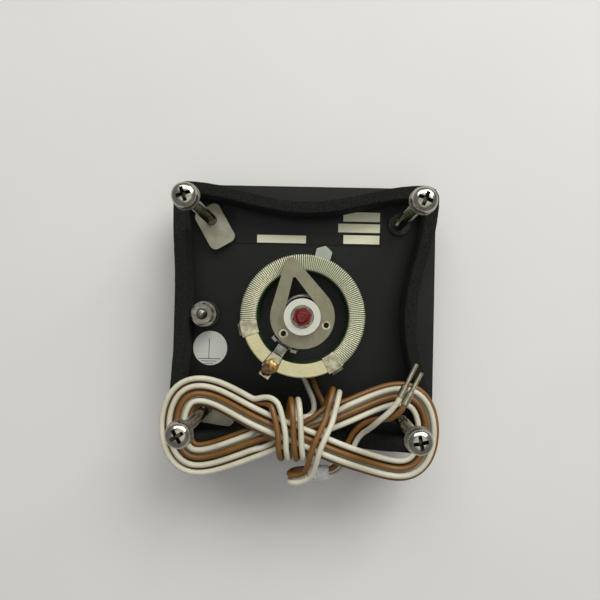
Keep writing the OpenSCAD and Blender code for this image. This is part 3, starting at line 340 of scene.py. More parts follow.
def lead_route(w, side, start, in_rows, pin):
    """The whole route of one lead, from its terminal to its pin."""
    tau_end = HANK_FROM + HANK_STEPS / LOOP_POINTS
    first = [hank_point(HANK_FROM + i / LOOP_POINTS, w) for i in (0, 1)]
    rows = list(start) + raised(in_rows) + first
    lead_in = curve_points(rows, 2)[:2 * len(rows) - 4]
    hank = [hank_point(HANK_FROM + i / LOOP_POINTS / 3, w) for i in range(3 * HANK_STEPS + 1)]
    pair = PEEL + wraps() + CROSS_OVER + SLEEVE + UP
    before = [(hank_point(t, 0) + hank_point(t, 1)) / 2 for t in (tau_end - 1 / LOOP_POINTS, tau_end)]
    apart = unit(hank_point(tau_end, 1) - hank_point(tau_end, 0))
    middle = curve_points(before + raised(pair), 2)
    sides = curve_points([apart, apart] + [unit(r[3:]) for r in pair], 2)
    after = []
    for i in range(3, len(middle)):
        t = unit(middle[min(i + 1, len(middle) - 1)] - middle[i - 1])
        across = unit(sides[i] - sides[i].dot(t) * t)
        after.append(middle[i] + across * side * HALF_PAIR)
    a = math.radians(PIN_ANGLES[pin])
    heading = np.array((math.cos(a), math.sin(a), 0))
    end = raised(PIN_ENDS)[pin]
    close = curve_points([after[-2], after[-1], end - heading * LEAD_D, end], 2)[3:]
    return np.array(list(lead_in) + hank + after + list(close))


TAG_R = RING_RO - BAND_W * 0.55
WHITE_FACE, BROWN_FACE = 0.6, -1.2
STUB = LEAD_D * 1.5
white_start = [turned(TAG_R, y, CENTRE_ANGLE) for y in (WHITE_FACE, WHITE_FACE + STUB)]
brown_start = [turned(TAG_R, y, RIGHT_ANGLE) for y in (BROWN_FACE, BROWN_FACE - STUB)]
white_route = lead_route(1, 1, white_start, WHITE_IN, 0)
brown_route = lead_route(0, -1, brown_start, BROWN_IN, 1)


def lead(name, route, owned):
    """A soft sheathed lead that stands for its CAD stretches."""
    fine = curve_points(route, 3)
    made = tube(name, fine, LEAD_D / 2, 16)
    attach(made, "root")
    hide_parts(*owned)
    return made


white_lead = lead("white_lead", white_route, ["white_lead_in", "white_hank", "white_tail"])
brown_lead = lead("brown_lead", brown_route, ["brown_lead_in", "brown_hank", "brown_tail"])


# Materials

class Value:
    """A socket inside a material, so that patterns read as sums."""

    def __init__(self, finish, socket):
        self.finish = finish
        self.socket = socket

    def of(self, operation, other=None, swapped=False):
        """This value and another through one Math node."""
        a, b = (other, self) if swapped else (self, other)
        return self.finish.maths(operation, a, b)

    def __add__(self, other):
        return self.of("ADD", other)

    def __radd__(self, other):
        return self.of("ADD", other, True)

    def __sub__(self, other):
        return self.of("SUBTRACT", other)

    def __rsub__(self, other):
        return self.of("SUBTRACT", other, True)

    def __mul__(self, other):
        return self.of("MULTIPLY", other)

    def __rmul__(self, other):
        return self.of("MULTIPLY", other, True)

    def power(self, other):
        return self.of("POWER", other)

    def within(self, low, high):
        """0 below low, 1 above high, and even in between."""
        made = self.finish.node("ShaderNodeMapRange", {"From Min": low, "From Max": high}, clamp=True)
        self.finish.tree.links.new(self.socket, made.inputs["Value"])
        return Value(self.finish, made.outputs["Result"])


class Finish:
    """A material on the Principled shader, with its constants on the shader's own sockets."""

    def __init__(self, name, **constants):
        self.material = bpy.data.materials.new(name)
        self.material.use_nodes = True
        self.tree = self.material.node_tree
        self.shader = self.tree.nodes["Principled BSDF"]
        for key, value in constants.items():
            self.shader.inputs[key.replace("_", " ").title().replace("Ior", "IOR")].default_value = value
        self.place = self.node("ShaderNodeTexCoord").outputs["Object"]

    def node(self, kind, inputs=None, **settings):
        made = self.tree.nodes.new(kind)
        for key, value in settings.items():
            setattr(made, key, value)
        for key, value in (inputs or {}).items():
            if isinstance(value, Value):
                self.tree.links.new(value.socket, made.inputs[key])
            elif isinstance(value, bpy.types.NodeSocket):
                self.tree.links.new(value, made.inputs[key])
            else:
                made.inputs[key].default_value = value
        return made

    def maths(self, operation, a, b):
        made = self.node("ShaderNodeMath", operation=operation)
        for i, value in enumerate((a, b)):
            if isinstance(value, Value):
                self.tree.links.new(value.socket, made.inputs[i])
            elif value is not None:
                made.inputs[i].default_value = value
        return Value(self, made.outputs[0])

    def noise(self, size, detail=3.0, rough=0.5, stretch=(1, 1, 1)):
        """Cloudy pattern of about a size in millimetres."""
        spread = self.node("ShaderNodeMapping", {"Vector": self.place, "Scale": stretch})
        made = self.node("ShaderNodeTexNoise", {"Vector": spread.outputs[0], "Scale": 1000 / size,
                                                "Detail": detail, "Roughness": rough})
        return Value(self, made.outputs["Fac"])

    def cells(self, size, feature="F1"):
        """Distance to scattered points that lie about a size apart, in millimetres."""
        made = self.node("ShaderNodeTexVoronoi", {"Vector": self.place, "Scale": 1000 / size},
                         feature=feature)
        return Value(self, made.outputs["Distance"])

    def axis(self, name):
        made = self.node("ShaderNodeSeparateXYZ", {"Vector": self.place})
        return Value(self, made.outputs[name])

    def mixed(self, share, a, b):
        """From one colour to another."""
        made = self.node("ShaderNodeMix", data_type="RGBA")
        for i, value in ((0, share), (6, a), (7, b)):
            if isinstance(value, Value):
                self.tree.links.new(value.socket, made.inputs[i])
            else:
                made.inputs[i].default_value = value if i == 0 else (*value, 1)
        return Value(self, made.outputs[2])

    def colour(self, value):
        self.tree.links.new(value.socket, self.shader.inputs["Base Color"])
        return self

    def rough(self, value):
        self.tree.links.new(value.socket, self.shader.inputs["Roughness"])
        return self

    def bump(self, height, depth):
        """Relief of a depth in millimetres."""
        made = self.node("ShaderNodeBump", {"Height": height, "Distance": depth * MM, "Strength": 1.0})
        self.tree.links.new(made.outputs[0], self.shader.inputs["Normal"])
        return self


def soft_plastic(name, pale, dark):
    """Sheath of a lead: slightly uneven, with fine scuffs."""
    f = Finish(name, roughness=0.38, ior=1.5)
    cloud = f.noise(9, 2)
    scuff = f.noise(1.1, 4, 0.65)
    f.colour(f.mixed((cloud * 0.6 + scuff * 0.4).within(0.3, 0.7), dark, pale))
    f.rough(scuff * 0.3 + 0.25)
    return f.bump(scuff + f.noise(0.25, 2) * 0.3, 0.03).material


def plated(name, pale, dark, low_rough=0.16, high_rough=0.34, scale=1.0):
    """Bright plated steel with hairlines and faint stains."""
    f = Finish(name, metallic=1.0)
    stain = f.noise(3 * scale, 4, 0.6)
    hair = f.noise(0.35 * scale, 3, 0.6)
    f.colour(f.mixed(stain.within(0.35, 0.68), pale, dark))
    f.rough((hair * 0.5 + stain * 0.5).within(0.25, 0.75) * (high_rough - low_rough) + low_rough)
    return f.bump(hair, 0.012).material


white_sheath = soft_plastic("white_sheath", (0.6, 0.575, 0.46), (0.46, 0.43, 0.32))
brown_sheath = soft_plastic("brown_sheath", (0.195, 0.088, 0.014), (0.12, 0.05, 0.007))
bright_steel = plated("bright_steel", (0.52, 0.49, 0.41), (0.3, 0.28, 0.225), 0.1, 0.26)
thread_steel = plated("thread_steel", (0.3, 0.285, 0.245), (0.14, 0.13, 0.105), 0.25, 0.45, 0.5)


def panel_black():
    """Moulded black panel, dull with dust and a few smears."""
    f = Finish("panel_black", roughness=0.42, specular_ior_level=0.22)
    grain = f.noise(0.28, 2)
    dust = f.noise(0.9, 6, 0.75)
    smear = f.noise(26, 3)
    worn = dust.within(0.6, 0.8) * 0.35 + smear.within(0.45, 0.8) * 0.5
    f.colour(f.mixed(worn, (0.0036, 0.0036, 0.003), (0.0165, 0.0162, 0.0125)))
    f.rough(smear * 0.2 + dust * 0.1 + 0.36)
    return f.bump(grain, 0.03).material


def foam_black():
    """Open foam with pores at its cut faces."""
    f = Finish("foam_black", roughness=0.95, specular_ior_level=0.15, sheen_weight=0.02)
    pores = f.cells(0.55)
    fine = f.noise(0.35, 5, 0.7)
    cut = (pores * 0.8 + fine * 0.5).within(0.25, 0.85)
    f.colour(f.mixed(cut, (0.002, 0.002, 0.0017), (0.014, 0.014, 0.011)))
    return f.bump(pores + fine * 0.8, 0.22).material


def plate_film():
    """Thin black film of the type plate."""
    f = Finish("plate_film", roughness=0.3, specular_ior_level=0.18)
    fine = f.noise(0.5, 4)
    f.colour(f.mixed(f.noise(7, 3), (0.004, 0.004, 0.004), (0.009, 0.009, 0.008)))
    f.rough(fine * 0.2 + 0.22)
    return f.bump(fine, 0.006).material


def printed(name, pale, dark):
    """Flat printed ink or film, with faint specks."""
    f = Finish(name, roughness=0.5)
    speck = f.noise(0.4, 5, 0.7)
    f.colour(f.mixed(speck.within(0.55, 0.85), pale, dark))
    f.rough(speck * 0.2 + 0.4)
    return f.bump(speck, 0.004).material


def nylon_milky():
    """Milky nylon that lets some light in."""
    f = Finish("nylon_milky", roughness=0.35, subsurface_weight=0.4, subsurface_scale=0.002)
    patchiness = f.noise(2, 3)
    f.colour(f.mixed(patchiness, (0.28, 0.31, 0.27), (0.4, 0.43, 0.36)))
    f.rough(patchiness * 0.25 + 0.25)
    return f.bump(f.noise(0.4, 3), 0.02).material


def cast_pale():
    """Pale cast claws with a fine grain."""
    f = Finish("cast_pale", roughness=0.5, metallic=0.25)
    grain = f.noise(0.5, 4, 0.6)
    f.colour(f.mixed(f.noise(4, 3).within(0.3, 0.7), (0.31, 0.29, 0.215), (0.22, 0.205, 0.15)))
    f.rough(grain * 0.3 + 0.3)
    return f.bump(grain, 0.03).material


def enamel_green():
    """Glossy green enamel that has run."""
    f = Finish("enamel_green", roughness=0.18, coat_weight=0.6)
    drip = f.noise(2.5, 4, 0.6)
    f.colour(f.mixed(drip.within(0.3, 0.75), (0.025, 0.12, 0.035), (0.06, 0.24, 0.08)))
    f.rough(drip * 0.25 + 0.08)
    return f.bump(drip, 0.12).material


def wire_bare():
    """Resistance wire, bare on top and coated with green enamel down the walls."""
    f = Finish("wire_bare", roughness=0.35)
    high = f.axis("Z").within((REAR + 22.85) * MM, (REAR + 23.3) * MM)
    patch = f.noise(2.2, 3, 0.6)
    bare = (high + (patch - 0.5) * 0.5).within(0.3, 0.7)
    f.colour(f.mixed(bare, (0.035, 0.16, 0.035), (0.54, 0.52, 0.36)))
    f.tree.links.new((bare * 0.45).socket, f.shader.inputs["Metallic"])
    f.rough(patch * 0.2 + 0.25)
    return f.bump(f.noise(0.3, 3), 0.01).material


def cement_cream():
    """Cream cement over the ends of the winding."""
    f = Finish("cement_cream", roughness=0.4)
    fleck = f.noise(0.7, 5, 0.65)
    cloud = (f.noise(5, 3) * 0.5 + fleck * 0.5).within(0.35, 0.7)
    f.colour(f.mixed(cloud, (0.56, 0.52, 0.3), (0.43, 0.38, 0.2)))
    f.rough(fleck * 0.3 + 0.25)
    return f.bump(fleck, 0.05).material


def solder_sealed():
    """Solder under amber lacquer."""
    f = Finish("solder_sealed", roughness=0.15, metallic=0.35, coat_weight=0.8)
    flow = f.noise(2.4, 3, 0.5)
    f.colour(f.mixed(flow.within(0.42, 0.6), (0.11, 0.035, 0.004), (0.33, 0.215, 0.035)))
    f.rough(flow * 0.3 + 0.1)
    return f.bump(flow, 0.15).material


def glazed_white():
    """White glazed hub with dirt in its pits."""
    f = Finish("glazed_white", roughness=0.3, coat_weight=0.3)
    dirt = f.noise(1.2, 5, 0.7)
    f.colour(f.mixed(dirt.within(0.55, 0.8), (0.5, 0.5, 0.42), (0.34, 0.33, 0.26)))
    f.rough(dirt * 0.25 + 0.2)
    return f.bump(f.noise(0.6, 3), 0.02).material


def satin_arm():
    """Satin metal of the arm, brushed lengthways."""
    f = Finish("satin_arm", metallic=0.85)
    brushed = f.noise(0.5, 3, 0.6, stretch=(1, 0.12, 1))
    stain = f.noise(4, 3)
    dull = (stain * 0.6 + brushed * 0.4).within(0.35, 0.7)
    f.colour(f.mixed(dull, (0.235, 0.222, 0.15), (0.175, 0.163, 0.105)))
    f.rough(brushed * 0.3 + 0.28)
    return f.bump(brushed, 0.012).material


def red_lacquer():
    """Deep red sealing lacquer."""
    f = Finish("red_lacquer", roughness=0.25, specular_ior_level=0.35)
    pool = f.noise(1.0, 3)
    f.colour(f.mixed(pool.within(0.3, 0.7), (0.16, 0.005, 0.003), (0.07, 0.002, 0.0015)))
    f.rough(pool * 0.3 + 0.12)
    return f.bump(pool, 0.1).material


def dull_metal(name, pale, dark):
    """Metal gone dull and stained."""
    f = Finish(name, metallic=0.9)
    stain = f.noise(1.6, 5, 0.7)
    f.colour(f.mixed(stain.within(0.35, 0.65), pale, dark))
    f.rough(stain * 0.4 + 0.25)
    return f.bump(f.noise(0.4, 4), 0.03).material


def dark_ceramic():
    """Dark, coarse ceramic of the base."""
    f = Finish("dark_ceramic", roughness=0.5)
    grain = f.noise(0.6, 5, 0.7)
    f.colour(f.mixed(grain.within(0.4, 0.75), (0.006, 0.009, 0.006), (0.02, 0.026, 0.019)))
    f.rough(grain * 0.3 + 0.35)
    return f.bump(grain, 0.06).material


def moulded_knob():
    """Fine grained black of the knob."""
    f = Finish("moulded_knob", roughness=0.4)
    grain = f.noise(0.3, 3)
    f.colour(f.mixed(f.noise(6, 3), (0.011, 0.011, 0.011), (0.024, 0.023, 0.022)))
    f.rough(grain * 0.2 + 0.3)
    return f.bump(grain, 0.02).material


def spun_cap():
    """Aluminium cap with turning rings about the shaft."""
    f = Finish("spun_cap", metallic=1.0)
    x, y = f.axis("X"), f.axis("Y")
    r = (x * x + y * y).power(0.5)
    rings = f.node("ShaderNodeMath", operation="SINE")
    f.tree.links.new((r * 14000.0).socket, rings.inputs[0])
    ring = Value(f, rings.outputs[0])
    f.colour(f.mixed(f.noise(5, 3), (0.68, 0.68, 0.7), (0.56, 0.56, 0.58)))
    f.rough(ring * 0.06 + 0.28)
    return f.bump(ring, 0.008).material


def clear_tube():
    """Soft clear tube, made pale and nearly opaque, with the silvery glare of its surface painted into its
    colour.
    """
    f = Finish("clear_tube", roughness=0.12, ior=1.45, alpha=0.85, coat_weight=1.0)
    patchiness = f.noise(1.4, 4, 0.6)
    # The pale colours are a painted reflection: the silvery glare of a clear tube, uneven over it.
    f.colour(f.mixed(patchiness.within(0.3, 0.7), (0.72, 0.73, 0.7), (0.38, 0.4, 0.38)))
    f.rough(patchiness * 0.25 + 0.05)
    return f.bump(f.noise(0.9, 3), 0.12).material


def brush_graphite():
    """Graphite and copper of the brush."""
    f = Finish("brush_graphite", roughness=0.45, metallic=0.4)
    f.colour(f.mixed(f.noise(0.4, 4), (0.05, 0.04, 0.03), (0.11, 0.08, 0.06)))
    return f.bump(f.noise(0.3, 4), 0.03).material


# The CAD nodes keep their shapes and get these finishes

black_panel = panel_black()
steel_bits = plated("steel_bits", (0.28, 0.265, 0.225), (0.13, 0.122, 0.1), 0.16, 0.36, 0.6)
dark_bits = dull_metal("dark_bits", (0.035, 0.034, 0.03), (0.014, 0.014, 0.012))
tinned = plated("tinned", (0.56, 0.53, 0.37), (0.22, 0.2, 0.13), 0.2, 0.46, 0.7)
strap_metal = dull_metal("strap_metal", (0.42, 0.42, 0.38), (0.2, 0.2, 0.18))
brass_bits = dull_metal("brass_bits", (0.5, 0.38, 0.17), (0.3, 0.22, 0.1))
finishes = {
    "front_panel": black_panel, "threaded_bushes": dark_bits, "type_plate": plate_film(),
    "earth_disc": printed("disc_film", (0.62, 0.63, 0.56), (0.5, 0.5, 0.44)),
    "earth_nuts": steel_bits, "earth_washers": steel_bits, "nylon_pillar": nylon_milky(),
    "lock_washers": thread_steel, "plain_washers": thread_steel, "upper_claw": cast_pale(),
    "rheostat_base": dark_ceramic(), "ring_core": enamel_green(), "ring_bridges": cement_cream(),
    "right_end_terminal": tinned, "left_end_terminal": tinned, "centre_terminal": tinned,
    "collector_strap": strap_metal, "stop_bracket": strap_metal, "hub_bush": brass_bits,
    "bush_washer": steel_bits, "bush_nut": steel_bits, "control_shaft": steel_bits,
    "wiper_hub": glazed_white(), "wiper_arm": satin_arm(), "arm_eyelets": tinned,
    "contact_brush": brush_graphite(), "hub_washer": steel_bits, "hub_nut": steel_bits,
    "knob": moulded_knob(), "knob_screw": steel_bits, "knob_cap": spun_cap(), "white_pin": tinned,
    "brown_pin": tinned, "clear_sleeve": clear_tube(),
}
finishes["lower_claw"] = finishes["upper_claw"]


def dressed(thing, material):
    """One material over a whole mesh."""
    thing.data.materials.clear()
    thing.data.materials.append(material)
    return thing


for name, material in finishes.items():
    dressed(nodes[name], material)
dressed(white_lead, white_sheath)
dressed(brown_lead, brown_sheath)


def mounted(thing, body, material, slot, *owned):
    """Puts a piece on a body, in place of the CAD nodes that it owns."""
    dressed(thing, material)
    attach(thing, body)
    if owned:
        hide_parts(*owned)
    return thing


# Foam gasket: a strip on edge, soft at its cut edges

FOAM_LOW = -48 + 0.9
FOAM_T, FOAM_H, FOAM_R = 5.0, 11.5, 5.0
FOAM_BOWS = (2.6, 7.0, 6.2, 1.7)


def foam_outline(depth, steps=40):
    """Outline of a face of the strip that lies in by some depth, as in the part's source."""
    corner = max(FOAM_R - depth, FOAM_R * 0.3)
    reach = -FOAM_LOW - depth - corner
    outer_reach = -FOAM_LOW - FOAM_R
    points = []
    for side, bow in enumerate(FOAM_BOWS):
        run = []
        for i in range(steps + 1):
            x = reach * (2 * i / steps - 1)
            run.append((x, FOAM_LOW + depth + bow * (1 + math.cos(math.pi * x / outer_reach)) / 2))
        for i in range(1, 8):
            a = math.radians(-90 + 90 * i / 8)
            run.append((reach + corner * math.cos(a), -reach + corner * math.sin(a)))
        a = math.radians(90 * side)
        points += [(x * math.cos(a) - y * math.sin(a), x * math.sin(a) + y * math.cos(a)) for x, y in run]
    return points


def foam_strip():
    """The strip round the panel, with rounded edges and a slight waviness."""
    rounding, clear = 0.45, 0.02
    quarters = [FOAM_H * share for share in (0.25, 0.5, 0.75)]
    profile = [(0, rounding)] + [(0, h) for h in quarters] + [(0, FOAM_H - rounding)]
    profile += [(t, FOAM_H) for t in (rounding, FOAM_T * 0.33, FOAM_T * 0.67, FOAM_T - rounding)]
    profile += [(FOAM_T, FOAM_H - rounding)] + [(FOAM_T, h) for h in quarters[::-1]]
    profile += [(FOAM_T, rounding), (FOAM_T - rounding, clear), (rounding, clear)]
    rings = [foam_outline(0), foam_outline(FOAM_T)]
    n = len(rings[0])
    vertices = []
    for depth, h in profile:
        share = depth / FOAM_T
        for a, b in zip(*rings):
            vertices.append((a[0] + (b[0] - a[0]) * share, a[1] + (b[1] - a[1]) * share, REAR + h))
    m = len(profile)
    faces = [(i * n + k, i * n + (k + 1) % n, ((i + 1) % m) * n + (k + 1) % n, ((i + 1) % m) * n + k)
             for i in range(m) for k in range(n)]
    strip = piece("foam_strip", vertices, faces)
    ripple = bpy.data.textures.new("foam_ripple", "CLOUDS")
    ripple.noise_scale = 0.004
    fine = strip.modifiers.new("smooth", "SUBSURF")
    fine.levels = fine.render_levels = 1
    uneven = strip.modifiers.new("uneven", "DISPLACE")
    uneven.texture = ripple
    uneven.strength = 0.0004
    uneven.mid_level = 0.9
    return finished(strip)


foam = mounted(foam_strip(), "root", foam_black(), "foam", "foam_gasket")


# Repeats, made by Geometry Nodes

class Tree:
    """A Geometry Nodes tree that is built step by step."""

    def __init__(self, name, **sizes):
        self.group = bpy.data.node_groups.new(name, "GeometryNodeTree")
        self.group.interface.new_socket("Geometry", in_out="INPUT", socket_type="NodeSocketGeometry")
        self.group.interface.new_socket("Geometry", in_out="OUTPUT", socket_type="NodeSocketGeometry")
        self.sizes = sizes
        self.keys = {}
        for key, value in sizes.items():
            kind = {int: "NodeSocketInt", float: "NodeSocketFloat"}.get(type(value), "NodeSocketObject")
            made = self.group.interface.new_socket(key, in_out="INPUT", socket_type=kind)
            self.keys[key] = made.identifier
        self.start = self.group.nodes.new("NodeGroupInput")
        self.end = self.group.nodes.new("NodeGroupOutput")

    def size(self, key):
        return self.start.outputs[key]

    def node(self, kind, inputs=None, **settings):
        made = self.group.nodes.new(kind)
        for key, value in settings.items():
            setattr(made, key, value)
        for key, value in (inputs or {}).items():
            if isinstance(value, bpy.types.NodeSocket):
                self.group.links.new(value, made.inputs[key])
            else:
                made.inputs[key].default_value = value
        return made

    def maths(self, operation, a, b):
        return self.node("ShaderNodeMath", {0: a, 1: b}, operation=operation).outputs[0]

    def grown(self, name, geometry, material):
        """Runs the tree and keeps its result as a plain mesh."""
        realized = self.node("GeometryNodeRealizeInstances", {"Geometry": geometry})
        painted = self.node("GeometryNodeSetMaterial",
                            {"Geometry": realized.outputs[0], "Material": material})
        self.group.links.new(painted.outputs[0], self.end.inputs[0])
        host = bpy.data.objects.new(name, bpy.data.meshes.new(name))
        bpy.context.scene.collection.objects.link(host)
        modifier = host.modifiers.new("grow", "NODES")
        modifier.node_group = self.group
        for key, value in self.sizes.items():
            modifier[self.keys[key]] = value
        bpy.context.view_layer.update()
        graph = bpy.context.evaluated_depsgraph_get()
        mesh = bpy.data.meshes.new_from_object(host.evaluated_get(graph))
        mesh.materials.clear()
        mesh.materials.append(material)
        host.modifiers.clear()
        host.data = mesh
        return host


def winding():
    """Turns of resistance wire side by side round the core, over the wound arc."""
    stand_off = 0.62
    tree = Tree("winding", Turns=118, Start_angle=math.radians(-47.5), End_angle=math.radians(184.5),
                Middle_radius=(RING_RO + RING_RI) / 2 * MM,
                Turn_width=(RING_RO - RING_RI + stand_off) * MM,
                Turn_height=(RING_TOP - RING_LOW + stand_off) * MM,
                Middle_height=(RING_TOP + RING_LOW) / 2 * MM,
                Corner=0.5 * MM, Wire=0.22 * MM)
    outline = tree.node("GeometryNodeCurvePrimitiveQuadrilateral",
                        {"Width": tree.size("Turn_width"), "Height": tree.size("Turn_height")})
    rounded = tree.node("GeometryNodeFilletCurve",
                        {"Curve": outline.outputs[0], "Radius": tree.size("Corner"), "Count": 3},
                        mode="POLY")
    wire = tree.node("GeometryNodeCurvePrimitiveCircle", {"Resolution": 8, "Radius": tree.size("Wire")})
    one = tree.node("GeometryNodeCurveToMesh",
                    {"Curve": rounded.outputs[0], "Profile Curve": wire.outputs[0]})
    upright = tree.node("GeometryNodeTransform",
                        {"Geometry": one.outputs[0], "Rotation": (math.pi / 2, 0, 0)})
    out = tree.node("ShaderNodeCombineXYZ",
                    {"X": tree.size("Middle_radius"), "Z": tree.size("Middle_height")})
    placed = tree.node("GeometryNodeTransform",
                       {"Geometry": upright.outputs[0], "Translation": out.outputs[0]})
    points = tree.node("GeometryNodePoints", {"Count": tree.size("Turns")})
    index = tree.node("GeometryNodeInputIndex")
    share = tree.maths("DIVIDE", index.outputs[0], tree.maths("SUBTRACT", tree.size("Turns"), 1.0))
    sweep = tree.maths("SUBTRACT", tree.size("End_angle"), tree.size("Start_angle"))
    angle = tree.maths("ADD", tree.size("Start_angle"), tree.maths("MULTIPLY", share, sweep))
    spun = tree.node("ShaderNodeCombineXYZ", {"Z": angle})
    turns = tree.node("GeometryNodeInstanceOnPoints",
                      {"Points": points.outputs[0], "Instance": placed.outputs[0],
                       "Rotation": spun.outputs[0]})
    smooth = tree.node("GeometryNodeSetShadeSmooth", {"Geometry": turns.outputs[0]})
    return tree.grown("wire_winding", smooth.outputs[0], wire_bare())


ring_winding = winding()
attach(ring_winding, "root")
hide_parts("resistance_winding")


# Head of a screw: its dome starts over the rim, and leaves a small flat on top
HEAD_R, DOME_LOW, HEAD_H = 3.85, 0.95, 2.9
DOME_FLAT, DOME = 0.35, 0.82
RECESS_LOW, RECESS_R = 0.8, 2.9


def in_recess(x, y, z):
    """Whether a place over the head's foot lies below the dome, in the cross."""
    r = math.hypot(x, y)
    level = min(1.0, (max(0.0, r - DOME_FLAT) / (HEAD_R - 0.4)) ** (1 / DOME))
    dome = DOME_LOW + (HEAD_H - DOME_LOW) * math.sqrt(1 - level ** 2)
    return r < RECESS_R and RECESS_LOW < z < dome - 0.12


def shaded_crosses(screws):
    """Painted shade in the crosses of the screw heads, as a second, darker finish."""
    # A dark steel on the faces inside the crosses: painted shade where the recesses lie in shadow.
    screws.data.materials.append(plated("recess_painted_shade", (0.11, 0.1, 0.075), (0.03, 0.027, 0.02), 0.25, 0.5))
    for face in screws.data.polygons:
        x, y, z = (c / MM for c in face.center)
        if in_recess(abs(x) - SCREW, abs(y) - SCREW, z - HEAD_LOW):
            face.material_index = len(screws.data.materials) - 1
    return screws


def screw_head(low):
    """Domed head with a cross recess whose walls slope in."""
    profile = [(1.9, 0), (HEAD_R - 0.35, 0), (HEAD_R - 0.08, 0.12), (HEAD_R, 0.4), (HEAD_R - 0.02, 0.9)]
    for i in range(1, 9):
        a = math.radians(90 * i / 9)
        profile.append((DOME_FLAT + (HEAD_R - 0.4) * math.cos(a) ** DOME,
                        DOME_LOW + (HEAD_H - DOME_LOW) * math.sin(a)))
    profile.append((0.0, HEAD_H))
    head = lathed("head", profile, (0, 0, low), 56)
    recess_rows = ((0.9, 0.75, 0.3), (1.6, 1.35, 0.42), (3.4, 2.75, 0.62))
    arms = []
    for i in range(2):
        bar = []
        for z, half_len, half_w in recess_rows:
            bar += [(s * half_len, t * half_w, low + z) for s, t in ((-1, -1), (1, -1), (1, 1), (-1, 1))]
        faces = [(3, 2, 1, 0), (8, 9, 10, 11)]
        for j in (0, 4):
            faces += [(j + k, j + (k + 1) % 4, j + 4 + (k + 1) % 4, j + 4 + k) for k in range(4)]
        arm = piece("recess", bar, faces, False)
        arm.data.transform(Matrix.Rotation(math.radians(90 * i), 4, "Z"))
        arms.append(arm)
    for arm in arms:
        cut = head.modifiers.new("cut", "BOOLEAN")
        cut.object = arm
        cut.solver = "EXACT"
    finished(head)
    for arm in arms:
        bpy.data.objects.remove(arm)
    return creased(head, 32)


def clamp_screws():
    """Four long screws, each turned as it was left."""
    shank = threaded("shank", 2.0, 0.7, SCREW_LOW + 0.05, HEAD_LOW + 0.1, (0, 0, 0))
    pattern = merged("screw_pattern", [screw_head(HEAD_LOW), shank])
    tree = Tree("clamp_screws", Screw=pattern, Half_pitch=SCREW * MM)
    info = tree.node("GeometryNodeObjectInfo", {"Object": tree.size("Screw")})
    joined = tree.node("GeometryNodeJoinGeometry")
    half = tree.size("Half_pitch")
    for (x, y), angle in zip(((-1, 1), (1, 1), (1, -1), (-1, -1)), (20, -22, 12, 32)):
        place = tree.node("ShaderNodeCombineXYZ", {"X": tree.maths("MULTIPLY", half, float(x)),
                                                   "Y": tree.maths("MULTIPLY", half, float(y))})
        one = tree.node("GeometryNodeTransform",
                        {"Geometry": info.outputs["Geometry"], "Translation": place.outputs[0],
                         "Rotation": (0, 0, math.radians(angle))})
        tree.group.links.new(one.outputs[0], joined.inputs[0])
    made = tree.grown("long_screws", joined.outputs[0], bright_steel)
    bpy.data.objects.remove(pattern)
    return made


screws = shaded_crosses(clamp_screws())
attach(screws, "root")
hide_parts("clamp_screws")

stud = threaded("earth_stud_threaded", 2.0, 0.7, REAR, REAR + 12.2, (STUD_X, 0, 0), 24, chamfer=0.7)
mounted(stud, "root", thread_steel, "plated_steel", "earth_stud")


# Contact spring, round and even

def spring():
    """Coils that start and end flat, from the strap's washer to under the eyelets."""
    low, high, r, wire_r = RING_LOW + 3, RING_TOP + 0.01, 6.89, 0.45
    curls, curl_points = 5, 28
    points = []
    for i in range(curls * curl_points + 1):
        along = i / curl_points
        a = 2 * math.pi * along
        climb = min(1, max(0, (along - 0.75) / (curls - 1.5)))
        points.append((r * math.cos(a), r * math.sin(a), low + (high - low) * climb))
    return tube("coil_spring", points, wire_r, 10)


mounted(spring(), "root", strap_metal, "strap_metal", "contact_spring")


# Blank places of the type plate, and the earth sign

def cell(name, left, top, right, bottom, z, t=0.03):
    """A printed bar or blank place, as a thin slab."""
    return slab(name, [(left, bottom), (right, bottom), (right, top), (left, top)], z, z + t)


PLATE_TOP = DISC_TOP = REAR + 0.3
blank_cells = merged("blank_cells", [
    cell("cell", 13.95, 38.76, 27.43, 35.32, PLATE_TOP), cell("cell", 12.15, 34.45, 27.52, 31.27, PLATE_TOP),
    cell("cell", -17.79, 29.75, 0.28, 26.9, PLATE_TOP), cell("cell", 14.13, 30.26, 27.38, 27.05, PLATE_TOP)])
mounted(blank_cells, "root", printed("cell_ink", (0.72, 0.69, 0.5), (0.6, 0.56, 0.4)), "disc_white")

earth_sign = merged("earth_sign", [
    cell("bar", -34.72, -9.0, -34.48, -16.4, DISC_TOP), cell("bar", -38.6, -16.4, -30.4, -16.66, DISC_TOP),
    cell("bar", -37.4, -17.3, -31.8, -17.54, DISC_TOP), cell("bar", -36.3, -18.15, -32.9, -18.37, DISC_TOP)])
mounted(earth_sign, "root", printed("sign_ink", (0.02, 0.02, 0.02), (0.05, 0.05, 0.05)), "panel_black")


# Sealing lacquer over the end of the shaft, and the solder

NUT_TOP = 47.01


def lacquer_drop():
    """Lacquer that has run from the shaft's end over the nut, round but uneven."""
    rows = [(1.9, -0.2), (2.3, -0.08), (2.25, 0.02), (1.86, 0.07), (1.8, 0.4), (1.6, 0.53),
            (1.25, 0.5), (1.05, 0.43), (0.5, 0.44), (0.0, 0.5)]
    drop = lathed("lacquer_drop", rows, (0, 0, NUT_TOP), 48)
    for v in drop.data.vertices:
        a = math.atan2(v.co.y, v.co.x)
        uneven = 1 + 0.05 * math.sin(3 * a + 1) + 0.03 * math.sin(7 * a)
        v.co.x *= uneven
        v.co.y *= uneven
    return drop


